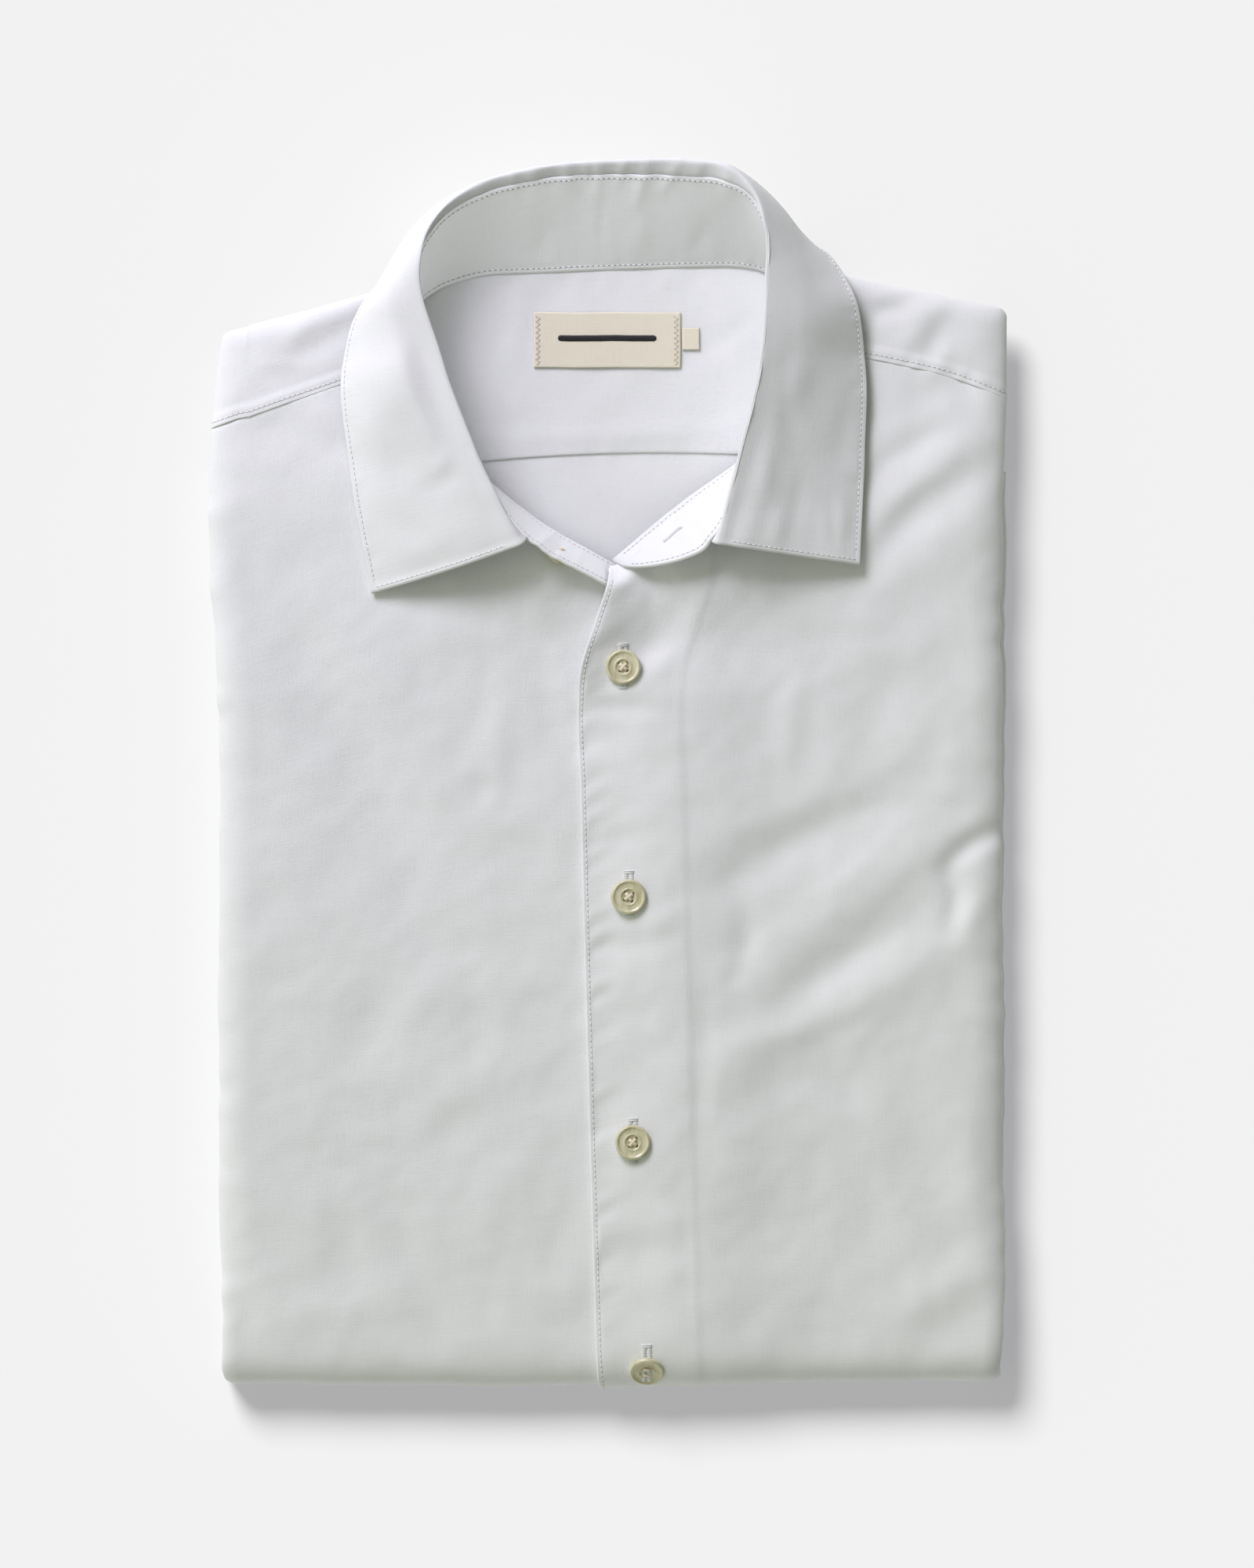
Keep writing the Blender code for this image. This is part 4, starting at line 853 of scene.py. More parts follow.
def yoke_grid():
    turns = np.linspace(math.pi, 0, 20)
    flats = np.linspace(0, 1, 172)
    places = [(-1, math.pi, i) for i in (SIDE_RETURN, 3.0)] + [(-1, t, 0.0) for t in turns[:-1]]
    places += [(0, 0.0, f) for f in flats]
    places += [(1, t, 0.0) for t in turns[::-1][1:]] + [(1, math.pi, i) for i in (3.0, SIDE_RETURN)]
    side, turn, value = (np.array(v, float) for v in zip(*places))
    rows = [("under", 5.0), ("under", 2.5), ("under", 1.0)]
    rows += [("lip", a) for a in np.linspace(0, math.pi, 6)]
    rows += [("top", t) for t in np.linspace(0, 1, YOKE_TOP_ROWS) ** 1.25]
    rows += [("ridge", t) for t in np.linspace(0, math.pi, RIDGE_ROWS)[1:]]
    rows += [("behind", b) for b in (2.0, 4.0, 6.0, 9.0, 12.0, 17.0, 22.0, 28.0, 36.0, 44.0, 54.0)]
    grid = np.zeros((len(rows), len(places), 3))
    keep = np.ones((len(rows) - 1, len(places) - 1), bool)
    ends = np.array([column(SIDES, "y", s, 145.0) for s in ("right", "left")])
    flat_x = ends[0] + SIDE_ROLL + (ends[1] - ends[0] - 2 * SIDE_ROLL) * value
    rolled_x = np.where(side < 0, ends[0], ends[1]) - side * (SIDE_ROLL * (1 - np.sin(turn)) + value)
    plan_x = np.where(side == 0, flat_x, rolled_x)
    near_side = np.clip(1 - np.minimum(plan_x - ends[0], ends[1] - plan_x) / CORNER_ROUND, 0, 1)
    ridge = column(SHOULDERS, "x", "ridge", plan_x) - CORNER_ROUND * (1 - np.sqrt(1 - near_side**2))
    seam = column(SHOULDERS, "x", "seam", plan_x)
    beyond = np.maximum(turn[:-1], turn[1:])
    for r, (stretch, at) in enumerate(rows):
        turned = at if stretch == "ridge" else (math.pi if stretch == "behind" else 0.0)
        y = ridge - SHOULDER_ROLL * (1 - math.sin(turned))
        sunk = 0.0
        if stretch == "top":
            y = seam + 0.5 + (y - seam - 0.5) * at
        elif stretch == "under":
            y, sunk = seam + at + EDGE_TURN, 2 * EDGE_TURN
        elif stretch == "lip":
            y, sunk = seam + EDGE_TURN * (1 - math.sin(at)), EDGE_TURN * (1 + math.cos(at))
        elif stretch == "behind":
            y = ridge - SHOULDER_ROLL - at
        aside = column(SIDES, "y", "right", y) - ends[0], column(SIDES, "y", "left", y) - ends[1]
        x = plan_x + np.where(side == 0, 0.0, np.where(side < 0, *aside))
        drop = (body_height(y) - YOKE_BACK) / 2 * (1 - np.cos(turn) * math.cos(turned))
        hold = (1 + np.cos(turn)) / 2 * (1 + math.cos(turned)) / 2
        z = body_height(y) - drop + (chest(x, y) - body_height(y)) * hold
        lap = LAP * (1 - smooth(LAP_WIDTH - 3, LAP_WIDTH, y - seam)) * hold if stretch != "behind" else 0.0
        if stretch in ("lip", "top"):
            lap = lap + puckers(x - 0.5 * y, y - seam, 3.0, 4.5, 0.36, 25) * hold
            lap = lap - 0.05 * np.exp(-(((y - seam - YOKE_STITCH) / 0.5) ** 2)) * hold
        if stretch == "behind":
            z = np.maximum(z, YOKE_BACK)
        grid[r] = np.stack([x, y, z + lap - sunk], axis=-1)
        if r < len(rows) - 1:
            if rows[r + 1][0] in ("ridge", "behind"):
                keep[r, beyond > math.pi / 2 + 0.1] = False
            if turned > math.pi * 0.49:
                keep[r, beyond > 0.01] = False
            if stretch == "behind" and at >= YOKE_RETURN * 0.5:
                keep[r, np.abs(plan_x[:-1]) > YOKE_BEHIND] = False
    return grid, keep


yoke_outer, yoke_keep = yoke_grid()
yoke_keep &= cut_outline(yoke_outer, opening(YOKE_CLEAR), PITCH, above=YOKE_BACK + CLOTH)
yoke = add_piece("shirt_yoke", sheet_mesh("yoke", yoke_outer, yoke_keep), shirting)
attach(yoke, "root")
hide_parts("yoke")

# ---- Inner yoke and back --------------------------------------------------------------------
# Seen through the neck opening: the yoke's second layer, sewn in at the back of the neck, and
# below its seam the plain back, which lies a little lower.
FACING_TOP = YOKE_BACK + 2 * CLOTH + 0.3
BACK_TOP = FACING_TOP - 0.8
BACK_FRONT, NECK_BACK = 73.0, 176.4
WELL = 6.0
UNDER_BAND = 0.6  # the inner yoke runs on into the neck seam
NECK_WAVES = [
    Fold(-52, 150, -38, 116, 2, 5, 0.5, 0),
    Fold(-46, 118, 44, 121, -1, 3.5, 0.35, 0),
    Fold(-30, 168, -36, 140, 1, 4, 0.4, 0),
    Fold(40, 168, 52, 128, -2, 6, 0.6, 0),
    Fold(50, 160, 30, 146, 1, 4, -0.4, 0),
]


def well_span(y):
    """The two sides of the well under the neck opening, at one y."""
    ring = neckline(WELL - 2.5)
    ends = np.roll(ring, -1, axis=0)
    crossing = (ring[:, 1] - y) * (ends[:, 1] - y) < 0
    a, b = ring[crossing], ends[crossing]
    x = a[:, 0] + (b[:, 0] - a[:, 0]) * (y - a[:, 1]) / (b[:, 1] - a[:, 1])
    return (x.min(), x.max()) if len(x) > 1 else (-1.0, 1.0)


def lying_grid(low_y, high_y, top, rows):
    """A panel that lies under the neck opening, as wide as the well allows."""
    behind = NECK_RING[(NECK_RING[:, 1] > 158)]
    grid = np.zeros((rows, 110, 3))
    for r, t in enumerate(np.linspace(0, 1, rows)):
        y = low_y + (high_y - low_y) * t
        right, left = well_span(min(y, 158.0))
        x = np.linspace(right, left, 110)
        back = np.interp(x, behind[:, 0], behind[:, 1]) + UNDER_BAND
        if high_y > 150:
            low = low_y + 0.5 - SEAM_BOW[1] * (x - SEAM_BOW[0]) ** 2
            y = low + (back - low) * t
        else:
            y = np.full(110, y)
        z = top + fold_relief(x, y, NECK_WAVES)
        z = z + 0.16 * rumple(x, y, 11.0, 27)
        pucker = 0.16 * uneven(x, 4.5, 11) * np.exp(-(((y - YOKE_SEAM) / 5.0) ** 2))
        pucker += 0.18 * uneven(x, 5.0, 12) * np.exp(-(((y - back + 5) / 3.0) ** 2))
        grid[r] = np.stack([x, y, z + pucker], axis=-1)
    return grid


facing_top = lying_grid(YOKE_SEAM, NECK_BACK, FACING_TOP, 52)
lip = facing_top[:6].copy()
for r, a in enumerate(np.linspace(0, math.pi, 6)):
    lip[r] = facing_top[0]
    lip[r, :, 1] += EDGE_TURN * (1 - math.sin(a))
    lip[r, :, 2] -= EDGE_TURN * (1 + math.cos(a))
facing_grid = np.vstack([lip, facing_top[1:]])
facing = add_piece("inner_yoke", sheet_mesh("inner_yoke", facing_grid), shirting)
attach(facing, "root")
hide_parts("yoke_facing")

back_grid = lying_grid(BACK_FRONT, YOKE_SEAM + 3.0, BACK_TOP, 36)
back = add_piece("shirt_back", sheet_mesh("shirt_back", back_grid), shirting)
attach(back, "root")
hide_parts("back")

# ---- Neckband -------------------------------------------------------------------------------
# The collar's stand: two layers of shirting with a fused interlining, sewn to the neckline.
# It runs on past the leaf as two round-ended tabs, which button at the throat.
BAND_CLOTH = 1.1
BAND_ROWS = 40
BAND_CARD = {"towards": (0.87, -0.20, 0.34), "spread": 60.0, "power": 1.0}  # lights the band alone
TAB_TUCK = 8  # columns by which the right tab runs on under the left front
BAND_PLEATS = [
    Fold(-45, 206, -43, 198, 0, 2.6, 0.35, 0),
    Fold(-34, 212, -32, 203, 0, 1.8, 0.40, 0),
    Fold(-26, 213, -27, 196, 0, 2.4, 0.45, 0),
    Fold(-15, 213, -13, 204, 0, 2.0, 0.55, 0),
    Fold(-8, 214, -7, 207, 0, 1.4, 0.35, 0),
    Fold(-3, 214, -4, 200, 0, 2.2, 0.60, 0),
    Fold(6, 214, 3, 205, 0, 1.6, 0.45, 0),
    Fold(14, 214, 10, 199, 0, 2.2, 0.65, 0),
    Fold(25, 214, 19, 203, 0, 2.0, 0.60, 0),
    Fold(33, 213, 30, 206, 0, 1.6, 0.30, 0),
    Fold(42, 211, 41, 200, 0, 2.4, 0.50, 0),
    Fold(-2, 199, -2, 184, 0, 1.8, -0.35, 0),
    Fold(12, 196, 8, 180, 1, 4, 0.5, 0),
    Fold(-20, 194, -25, 180, 0, 4, -0.5, 0),
    Fold(34, 192, 30, 180, 0, 3, -0.5, 0),
    Fold(-27, 78, -19, 84, 0, 1.6, 0.5, 0),
    Fold(-21, 74, -15, 82, 0, 1.5, -0.4, 0),
    Fold(-12, 72, -8, 79, 0, 1.5, 0.4, 0),
    Fold(27, 92, 31, 80, 0, 2.0, -0.6, 0),
    Fold(22, 90, 25, 80, 0, 2.2, 0.4, 0),
    Fold(34, 88, 36, 79, 0, 1.6, 0.6, 0),
]


def pushed(grid, amount):
    """The grid moved along its own normals."""
    normal = np.cross(np.gradient(grid, axis=1), np.gradient(grid, axis=0))
    normal /= np.maximum(np.linalg.norm(normal, axis=2), 1e-9)[..., None]
    return grid + normal * amount[..., None]


def thicken(piece, thick):
    solid = piece.modifiers.new("cloth", "SOLIDIFY")
    solid.thickness = thick * MM
    solid.offset = -1
    solid.use_even_offset = False


def band_grid():
    neck, seam = collar_curve("neck", tabs=True), collar_curve("seam", tabs=True)
    last = len(neck) - 1
    past = np.clip((np.arange(last + 1) - last + TAB_STATIONS) / TAB_STATIONS, 0, 1)
    rise = np.maximum(0.06, (1 - past**2.3) ** (1 / 2.3))
    t = np.linspace(0, 1, BAND_ROWS)[:, None, None]
    grid = neck[None] + (seam - neck)[None] * rise[None, :, None] * t
    run = lengths_along(seam)[None, :]
    t = t[..., 0]
    ends = smooth(0, 20, run) * smooth(0, 20, run[0, -1] - run)
    pleats = puckers(run, 1 - t, 6.5, 0.35, 0.28, 21) + puckers(run, t - 0.1, 3.0, 0.08, 0.16, 22)
    pleats = pleats + 0.35 * (1 - smooth(0.01, 0.035, t)) - 0.14 * np.exp(-(((t - 0.055) / 0.015) ** 2))
    pleats = pleats + uneven(run, 17.0, 23) * 0.4 * np.sin(math.pi * t)
    pleats = pleats + fold_relief(grid[..., 0], grid[..., 1], BAND_PLEATS)
    grid = pushed(grid, pleats * ends)
    beyond = np.arange(TAB_TUCK, 0, -1)[None, :, None]
    tucked = grid[:, :1] + (grid[:, :1] - grid[:, 1:2]) * beyond
    tucked[..., 2] -= 0.35 * beyond[..., 0]
    return np.concatenate([tucked, grid], axis=1)


band = add_piece("neckband", sheet_mesh("neckband", band_grid()), shirting)
thicken(band, BAND_CLOTH)
shine_on(soft_lamp("card", **BAND_CARD), band, "INCLUDE")
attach(band, "root")
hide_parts("collar_band")

# ---- Collar leaf ----------------------------------------------------------------------------
# The leaf is turned down over the stand. It is two layers with an interlining, turned out
# at its edges, which are thicker for the allowance inside, and topstitched all round.
CREST_TUCK = 0.1
SEAM_SINK = 0.45  # the leaf dips into its seam with the band
LEAF_EDGE = 1.75  # from the edge to the topstitching
LEAF_RIM, LEAF_GROOVE = 0.14, 0.05  # the rim stands up outside the stitching, and that sinks in
LEAF_FOLDS = [
    Fold(-46, 110, -66, 98, 1, 4, -0.45, 0),
    Fold(-50, 116, -60, 106, 0, 3, 0.4, 0),
    Fold(-84, 128, -78, 96, 2, 5, 0.5, 0),
    Fold(-80, 160, -91, 84, 0, 13, 1.6, 0),
    Fold(-60, 160, -74, 130, -2, 7, 0.6, 0),
    Fold(-96, 131, -50, 135, 0, 22, 3.0, 0),
    Fold(-56, 82, -76, 74, 0, 5, 0.5, 0),
    Fold(-74, 90, -60, 78, 0, 4, -0.4, 0),
    Fold(-62, 190, -66, 166, 0, 5, 0.4, 0),
    Fold(82, 96, 81, 76, 0, 2.4, 0.5, 0),
    Fold(75, 92, 77, 77, 0, 2.6, 0.4, 0),
    Fold(60, 92, 58, 79, 0, 3.0, 0.5, 0),
    Fold(68, 104, 64, 82, 0, 3.0, -0.4, 0),
    Fold(62, 170, 80, 140, 2, 7, 0.6, 0),
    Fold(53, 132, 42, 78, 0, 10, 1.3, 0),
    Fold(58, 140, 66, 112, 0, 5, -0.6, 0),
    Fold(70, 152, 64, 128, 0, 5, 0.5, 0),
    Fold(84, 130, 80, 106, 0, 4, -0.4, 0),
    Fold(50, 120, 56, 98, 0, 4, 0.5, 0),
]


def leaf_section(seam, crest, edge, belly, out):
    """Points of one section of the leaf, from the band over the crest to the outer edge."""
    run = edge - crest
    over = (crest - seam) - run * ((crest - seam) @ run) / (run @ run)
    over /= np.linalg.norm(over)
    start = seam + (crest - seam) / np.linalg.norm(crest - seam) * CREST_TUCK
    knots = [
        start,
        crest,
        crest + run * 0.10 + over * belly * 0.45,
        crest + run * 0.35 + over * belly,
        crest + run * 0.70 + over * belly * 0.8,
        edge,
    ]
    at = lengths_along(knots)
    inner = np.concatenate([np.linspace(0, at[1], 7)[:-1], np.linspace(at[1], at[-1] - 4.5, 30)])
    return along(at, knots, np.concatenate([inner, at[-1] - out]))


def leaf_grid():
    out = np.array([3.6, 2.9, 2.4, 2.05, 1.75, 1.45, 1.1, 0.7, 0.3, 0.0])
    curves = zip(*(collar_curve(n) for n in ("seam", "crest", "edge", "belly")))
    return np.stack([leaf_section(*places, out) for places in curves], axis=1)


leaf = leaf_grid()
leaf_run = lengths_along(leaf[6])[None, :]
leaf_rows = np.linspace(0, 1, leaf.shape[0])[:, None]
front_ends = np.minimum(
    np.linalg.norm(leaf - leaf[:, :1], axis=2), np.linalg.norm(leaf - leaf[:, -1:], axis=2)
)
from_edge = np.minimum(np.linalg.norm(leaf - leaf[-1:], axis=2), front_ends)
leaf_lift = LEAF_RIM * (1 - smooth(1.2, LEAF_EDGE, from_edge))
leaf_lift = leaf_lift - LEAF_GROOVE * np.exp(-(((from_edge - LEAF_EDGE) / 0.5) ** 2))
crest_waves = 0.3 * uneven(leaf_run, 7.0, 31) * np.exp(-((leaf_rows / 0.18) ** 2))
leaf_lift = leaf_lift + crest_waves * smooth(3, 14, front_ends)
leaf_lift = leaf_lift + 0.45 * uneven(leaf_run, 23.0, 32) * smooth(0.2, 0.7, leaf_rows)
from_seam = np.linalg.norm(leaf - leaf[:1], axis=2)
leaf_lift = leaf_lift - SEAM_SINK * (1 - smooth(0.2, 1.1, from_seam))
leaf_lift = leaf_lift + puckers(leaf_run, from_edge - 3.0, 3.4, 2.2, 0.16, 33)
leaf_lift = leaf_lift + fold_relief(leaf[..., 0], leaf[..., 1], LEAF_FOLDS) * smooth(4, 12, from_seam)
leaf_lift = leaf_lift + fold_relief(leaf[..., 0], leaf[..., 1], BAND_PLEATS[:11]) * (leaf[..., 2] > 30)
leaf_lift = leaf_lift + 0.3 * rumple(leaf[..., 0], leaf[..., 1], 12.0, 34) * smooth(2, 12, from_seam)
leaf = pushed(leaf, leaf_lift)
collar = add_piece("collar_leaf_cloth", sheet_mesh("collar_leaf_cloth", leaf), shirting)
thicken(collar, BAND_CLOTH)
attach(collar, "root")
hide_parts("collar_leaf")

# ---- Hidden layers --------------------------------------------------------------------------
# The rest of the shirt, inside the fold: the back's tail, the folded sides and both sleeves.
# They are one stack, with the soft round edge of each folded layer showing at the shoulders.
Layer = namedtuple("Layer", "name thick set_back")  # upwards from the tail's outer panel
LOWER_LAYERS = [
    Layer("tail of the back", 2.0, 0.0),
    Layer("folded side and side seam", 2.1, 3.2),
    Layer("sleeve", 2.1, 1.0),
    Layer("sleeve end and cuff", 1.9, 4.0),
]
LIP = 1.6  # depth of the groove between two layers
BACK_INSET = 6.0  # the lower layers stop this far inside the shoulder fold
LAYER_SAG, TOP_SAG = 2.2, 1.8  # they lie this far inside the rolled sides and under the chest
WEB, WEB_BACK = SIDE_ROLL + SIDE_RETURN + 1.5, 24.0  # the narrow part between the two halves
PINCH_END = (50.0, 70.0)  # the layers widen again this far above the bottom fold
CORNER_CUT = 7.0
CORE_CLEAR = CLOTH + 0.4
WELL_WIDTH, WELL_FLOOR = 86.0, YOKE_BACK - 0.3
CHANNEL_SIDES, CHANNEL_TOP = (-30.0, 54.0), BUTTON_HOLLOW + PLACKET_STEP + CLOTH + 1.05
ABOVE_ALL = 60.0
LAYER_X, LAYER_Y = 44, 60  # steps of the mesh across the stack and along it
LAYER_WANDER = 0.8  # how unevenly the hidden cloth was folded


def layer_points(a, b, z_low, z_share, side_in, ridge_in, fold_in):
    """Points of the stack at shares a and b of its outline, inset from the shirt's edges."""
    rough_x = -136 + 274 * a
    ridge = column(SHOULDERS, "x", "ridge", rough_x) - ridge_in
    fold = column(FOLD_LINE, "x", "fold", rough_x) + fold_in
    y = fold + (ridge - fold) * b
    side_in = side_in + np.maximum(0.0, WEB - side_in) * (1 - smooth(*PINCH_END, y - fold))
    right = column(SIDES, "y", "right", y) + side_in
    left = column(SIDES, "y", "left", y) - side_in
    x = right + (left - right) * a
    corner = np.abs(2 * a - 1) ** 6 * np.abs(2 * b - 1) ** 6
    x = x - CORNER_CUT * corner * np.sign(2 * a - 1)
    y = y - CORNER_CUT * corner * np.sign(2 * b - 1)
    if z_share is None:
        return np.stack([x, y, np.full(x.shape, z_low)], axis=-1)
    top = np.minimum(chest(x, y), body_height(y)) - CORE_CLEAR - TOP_SAG
    return np.stack([x, y, z_low + (top - z_low) * z_share], axis=-1)


def layer_ring(*sizes):
    """One loop of points round the stack."""
    s, t = np.linspace(0, 1, LAYER_X + 1), np.linspace(0, 1, LAYER_Y + 1)
    a = np.concatenate([s[:-1], np.ones(LAYER_Y), s[:0:-1], np.zeros(LAYER_Y)])
    b = np.concatenate([np.zeros(LAYER_X), t[:-1], np.ones(LAYER_X), t[:0:-1]])
    return layer_points(a, b, *sizes)


def roll_inset(share, roll, clear):
    """Plan inset of a rolled side at a share of its thickness, behind a wall."""
    return clear + (roll - clear) * (1 - math.sqrt(max(0.0, 1 - (2 * share - 1) ** 2)))


def fold_inset(z):
    """How far the stack stays behind the bottom fold at a height."""
    bulge = math.sqrt(max(0.0, 1 - ((z - MIDDLE) / (MIDDLE - CORE_CLEAR + 0.1)) ** 2))
    return FOLD_ROLL - (FOLD_ROLL - CORE_CLEAR - 2.6) * bulge


def stack_rings():
    """The stack's loops from its underside to its top, with a round edge on every layer."""
    low, top_of_lower = CORE_CLEAR, MIDDLE - HALF_GAP / 2 - CORE_CLEAR
    high = MIDDLE + HALF_GAP / 2 + CORE_CLEAR
    scale = (top_of_lower - low) / sum(layer.thick for layer in LOWER_LAYERS)
    rings, z = [], low
    run = np.arange(2 * (LAYER_X + LAYER_Y)) * 5.0
    for k, layer in enumerate(LOWER_LAYERS):
        for angle in np.linspace(-math.pi / 2, math.pi / 2, 9)[:-1]:
            at = z + layer.thick * scale * (1 + math.sin(angle)) / 2
            side = roll_inset((at - low) / (top_of_lower - low), SIDE_ROLL, CORE_CLEAR + LAYER_SAG)
            groove = LIP * (1 - math.cos(angle))
            ring = layer_ring(at, None, side + groove, BACK_INSET + layer.set_back + groove, fold_inset(at))
            pull = LAYER_WANDER * (1 + uneven(run, 37.0, 61 + k)) * math.cos(angle)
            middle = ring.mean(axis=0)
            inward = (middle - ring) / np.linalg.norm(middle - ring, axis=1)[:, None]
            rings.append(ring + inward * pull[:, None] * (1, 1, 0))
        z += layer.thick * scale
    rings.append(layer_ring(z, None, SIDE_ROLL + 1, 2 * BACK_INSET, fold_inset(z)))
    rings.append(layer_ring(z + 0.05, None, WEB, WEB_BACK, fold_inset(z)))
    rings.append(layer_ring(high - 0.05, None, WEB, WEB_BACK, fold_inset(high)))
    for share in (0.0, 0.15, 0.3, 0.45, 0.6, 0.75, 0.88):
        side = roll_inset(share, SIDE_ROLL, CORE_CLEAR + 0.4)
        ridge = roll_inset(share, SHOULDER_ROLL, CORE_CLEAR + 1.2)
        at = high + (STACK - CORE_CLEAR - high) * share
        rings.append(layer_ring(high, share, side + 0.8, ridge + 0.8, fold_inset(at) + 0.5))
    cap_inset = (SIDE_ROLL, SHOULDER_ROLL + 0.8, FOLD_ROLL - 1)
    rings.append(layer_ring(high, 1.0, *cap_inset))
    a, b = np.meshgrid(np.linspace(0, 1, LAYER_X + 1), np.linspace(0, 1, LAYER_Y + 1))
    return rings, layer_points(a, b, high, 1.0, *cap_inset)


def stack_mesh():
    rings, cap_points = stack_rings()
    bm = bmesh.new()
    loops = [[bm.verts.new(p * MM) for p in ring] for ring in rings]
    count = len(loops[0])
    for lower, upper in zip(loops, loops[1:]):
        for i in range(count):
            j = (i + 1) % count
            bm.faces.new((lower[i], lower[j], upper[j], upper[i]))
    bm.faces.new(loops[0][::-1])
    cap = {}
    for i, vert in enumerate(loops[-1]):
        if i < LAYER_X:
            cap[i, 0] = vert
        elif i < LAYER_X + LAYER_Y:
            cap[LAYER_X, i - LAYER_X] = vert
        elif i < 2 * LAYER_X + LAYER_Y:
            cap[2 * LAYER_X + LAYER_Y - i, LAYER_Y] = vert
        else:
            cap[0, count - i] = vert
    for i in range(LAYER_X + 1):
        for j in range(LAYER_Y + 1):
            if (i, j) not in cap:
                cap[i, j] = bm.verts.new(cap_points[j, i] * MM)
    for i in range(LAYER_X):
        for j in range(LAYER_Y):
            bm.faces.new((cap[i, j], cap[i + 1, j], cap[i + 1, j + 1], cap[i, j + 1]))
    bmesh.ops.recalc_face_normals(bm, faces=bm.faces)
    mesh = bpy.data.meshes.new("folded_layers")
    bm.to_mesh(mesh)
    bm.free()
    return mesh


def carve(obj, outlines):
    """Cuts prisms out of an object for good. Each is an outline in plan, its floor and its top."""
    cutters = []
    for outline, low, high in outlines:
        bm = bmesh.new()
        base = [bm.verts.new((x * MM, y * MM, low * MM)) for x, y in outline]
        face = bm.faces.new(base)
        raised = bmesh.ops.extrude_face_region(bm, geom=[face])["geom"]
        verts = [v for v in raised if isinstance(v, bmesh.types.BMVert)]
        bmesh.ops.translate(bm, verts=verts, vec=(0, 0, (high - low) * MM))
        bmesh.ops.recalc_face_normals(bm, faces=bm.faces)
        mesh = bpy.data.meshes.new("cutter")
        bm.to_mesh(mesh)
        bm.free()
        cutter = bpy.data.objects.new("cutter", mesh)
        bpy.context.scene.collection.objects.link(cutter)
        boolean = obj.modifiers.new("cut", "BOOLEAN")
        boolean.operation = "DIFFERENCE"
        boolean.object = cutter
        cutters.append(cutter)
    apply_modifiers(obj)
    for cutter in cutters:
        bpy.data.objects.remove(cutter, do_unlink=True)


def apply_modifiers(obj):
    depsgraph = bpy.context.evaluated_depsgraph_get()
    made = bpy.data.meshes.new_from_object(obj.evaluated_get(depsgraph))
    obj.modifiers.clear()
    obj.data = made


def plan_cut(mesh):
    """Lays the cloth's pattern over a mesh as seen from above, and up its sides."""
    places = np.zeros(len(mesh.vertices) * 3)
    mesh.vertices.foreach_get("co", places)
    x, y, z = places.reshape(-1, 3).T
    cut = np.stack([x + 0.7 * z, y + 0.7 * z], axis=1)
    corners = np.zeros(len(mesh.loops), dtype=np.int32)
    mesh.loops.foreach_get("vertex_index", corners)
    layer = mesh.uv_layers.new(name="cut")
    layer.uv.foreach_set("vector", cut[corners].astype(np.float32).ravel())


channel = [(x, y) for x, y in ((0, -216), (1, -216), (1, 176), (0, 176))]
layers = add_piece("hidden_layers", stack_mesh(), shirting)
carve(layers, [
    (opening(WELL, WELL_WIDTH), WELL_FLOOR, ABOVE_ALL),
    ([(CHANNEL_SIDES[side], y) for side, y in channel], -1.0, CHANNEL_TOP),
])
plan_cut(layers.data)
layers.data.shade_smooth()
layers.data.set_sharp_from_angle(angle=math.radians(50))
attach(layers, "root")
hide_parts("folded_layers")

# ---- Label and size tab ---------------------------------------------------------------------
# A cream cotton tape with a plain bar worked in black satin stitch, its ends turned under and
# sewn down with zigzag. A narrow folded tab is caught under its left end. Both are unmarked.
LABEL_CREAM, LABEL_SHADE = (0.88, 0.82, 0.675, 1), (0.83, 0.765, 0.615, 1)
TAPE_PITCH = 0.5
Tape = namedtuple("Tape", "name node x y width depth top")
LABEL = Tape("neck_label", "label", -0.2, 152.0, 51.4, 19.4, 14.55)
SIZE_TAB = Tape("size_tab_tape", "size_tab", 29.0, 152.4, 6.0, 7.8, 14.45)
TAPE_THICK = 0.55
tape_cotton = woven("label tape", LABEL_CREAM, LABEL_SHADE, TAPE_PITCH, 0.85, 0.09, 0.08)


def tape_grid(tape, seed):
    """A tape's upper face, rounded over at its four edges, with a slight wave."""
    over = np.array([0.0, 0.05, 0.15, 0.35])
    across = np.concatenate([over, np.linspace(0.7, tape.width - 0.7, 60), tape.width - over[::-1]])
    along_y = np.concatenate([over, np.linspace(0.7, tape.depth - 0.7, 26), tape.depth - over[::-1]])
    x, y = np.meshgrid(across, along_y)
    edge = np.minimum(np.minimum(x, tape.width - x), np.minimum(y, tape.depth - y))
    drop = TAPE_THICK * (1 - np.sqrt(1 - (1 - np.clip(edge / 0.35, 0, 1)) ** 2))
    wave = 0.12 * uneven(x, 9.0, seed) * uneven(y, 8.0, seed + 1)
    sides = uneven(y, 6.0, seed + 2) * 0.10, uneven(x, 7.0, seed + 3) * 0.10
    left, low = tape.x - tape.width / 2, tape.y - tape.depth / 2
    return np.stack([left + x + sides[0], low + y + sides[1], tape.top - drop + wave], axis=-1)


def add_tape(tape, seed):
    grid = tape_grid(tape, seed)
    piece = add_piece(tape.name, sheet_mesh(tape.name, grid), tape_cotton)
    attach(piece, "root")
    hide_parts(tape.node)
    return grid


label_face = add_tape(LABEL, 41)
add_tape(SIZE_TAB, 45)

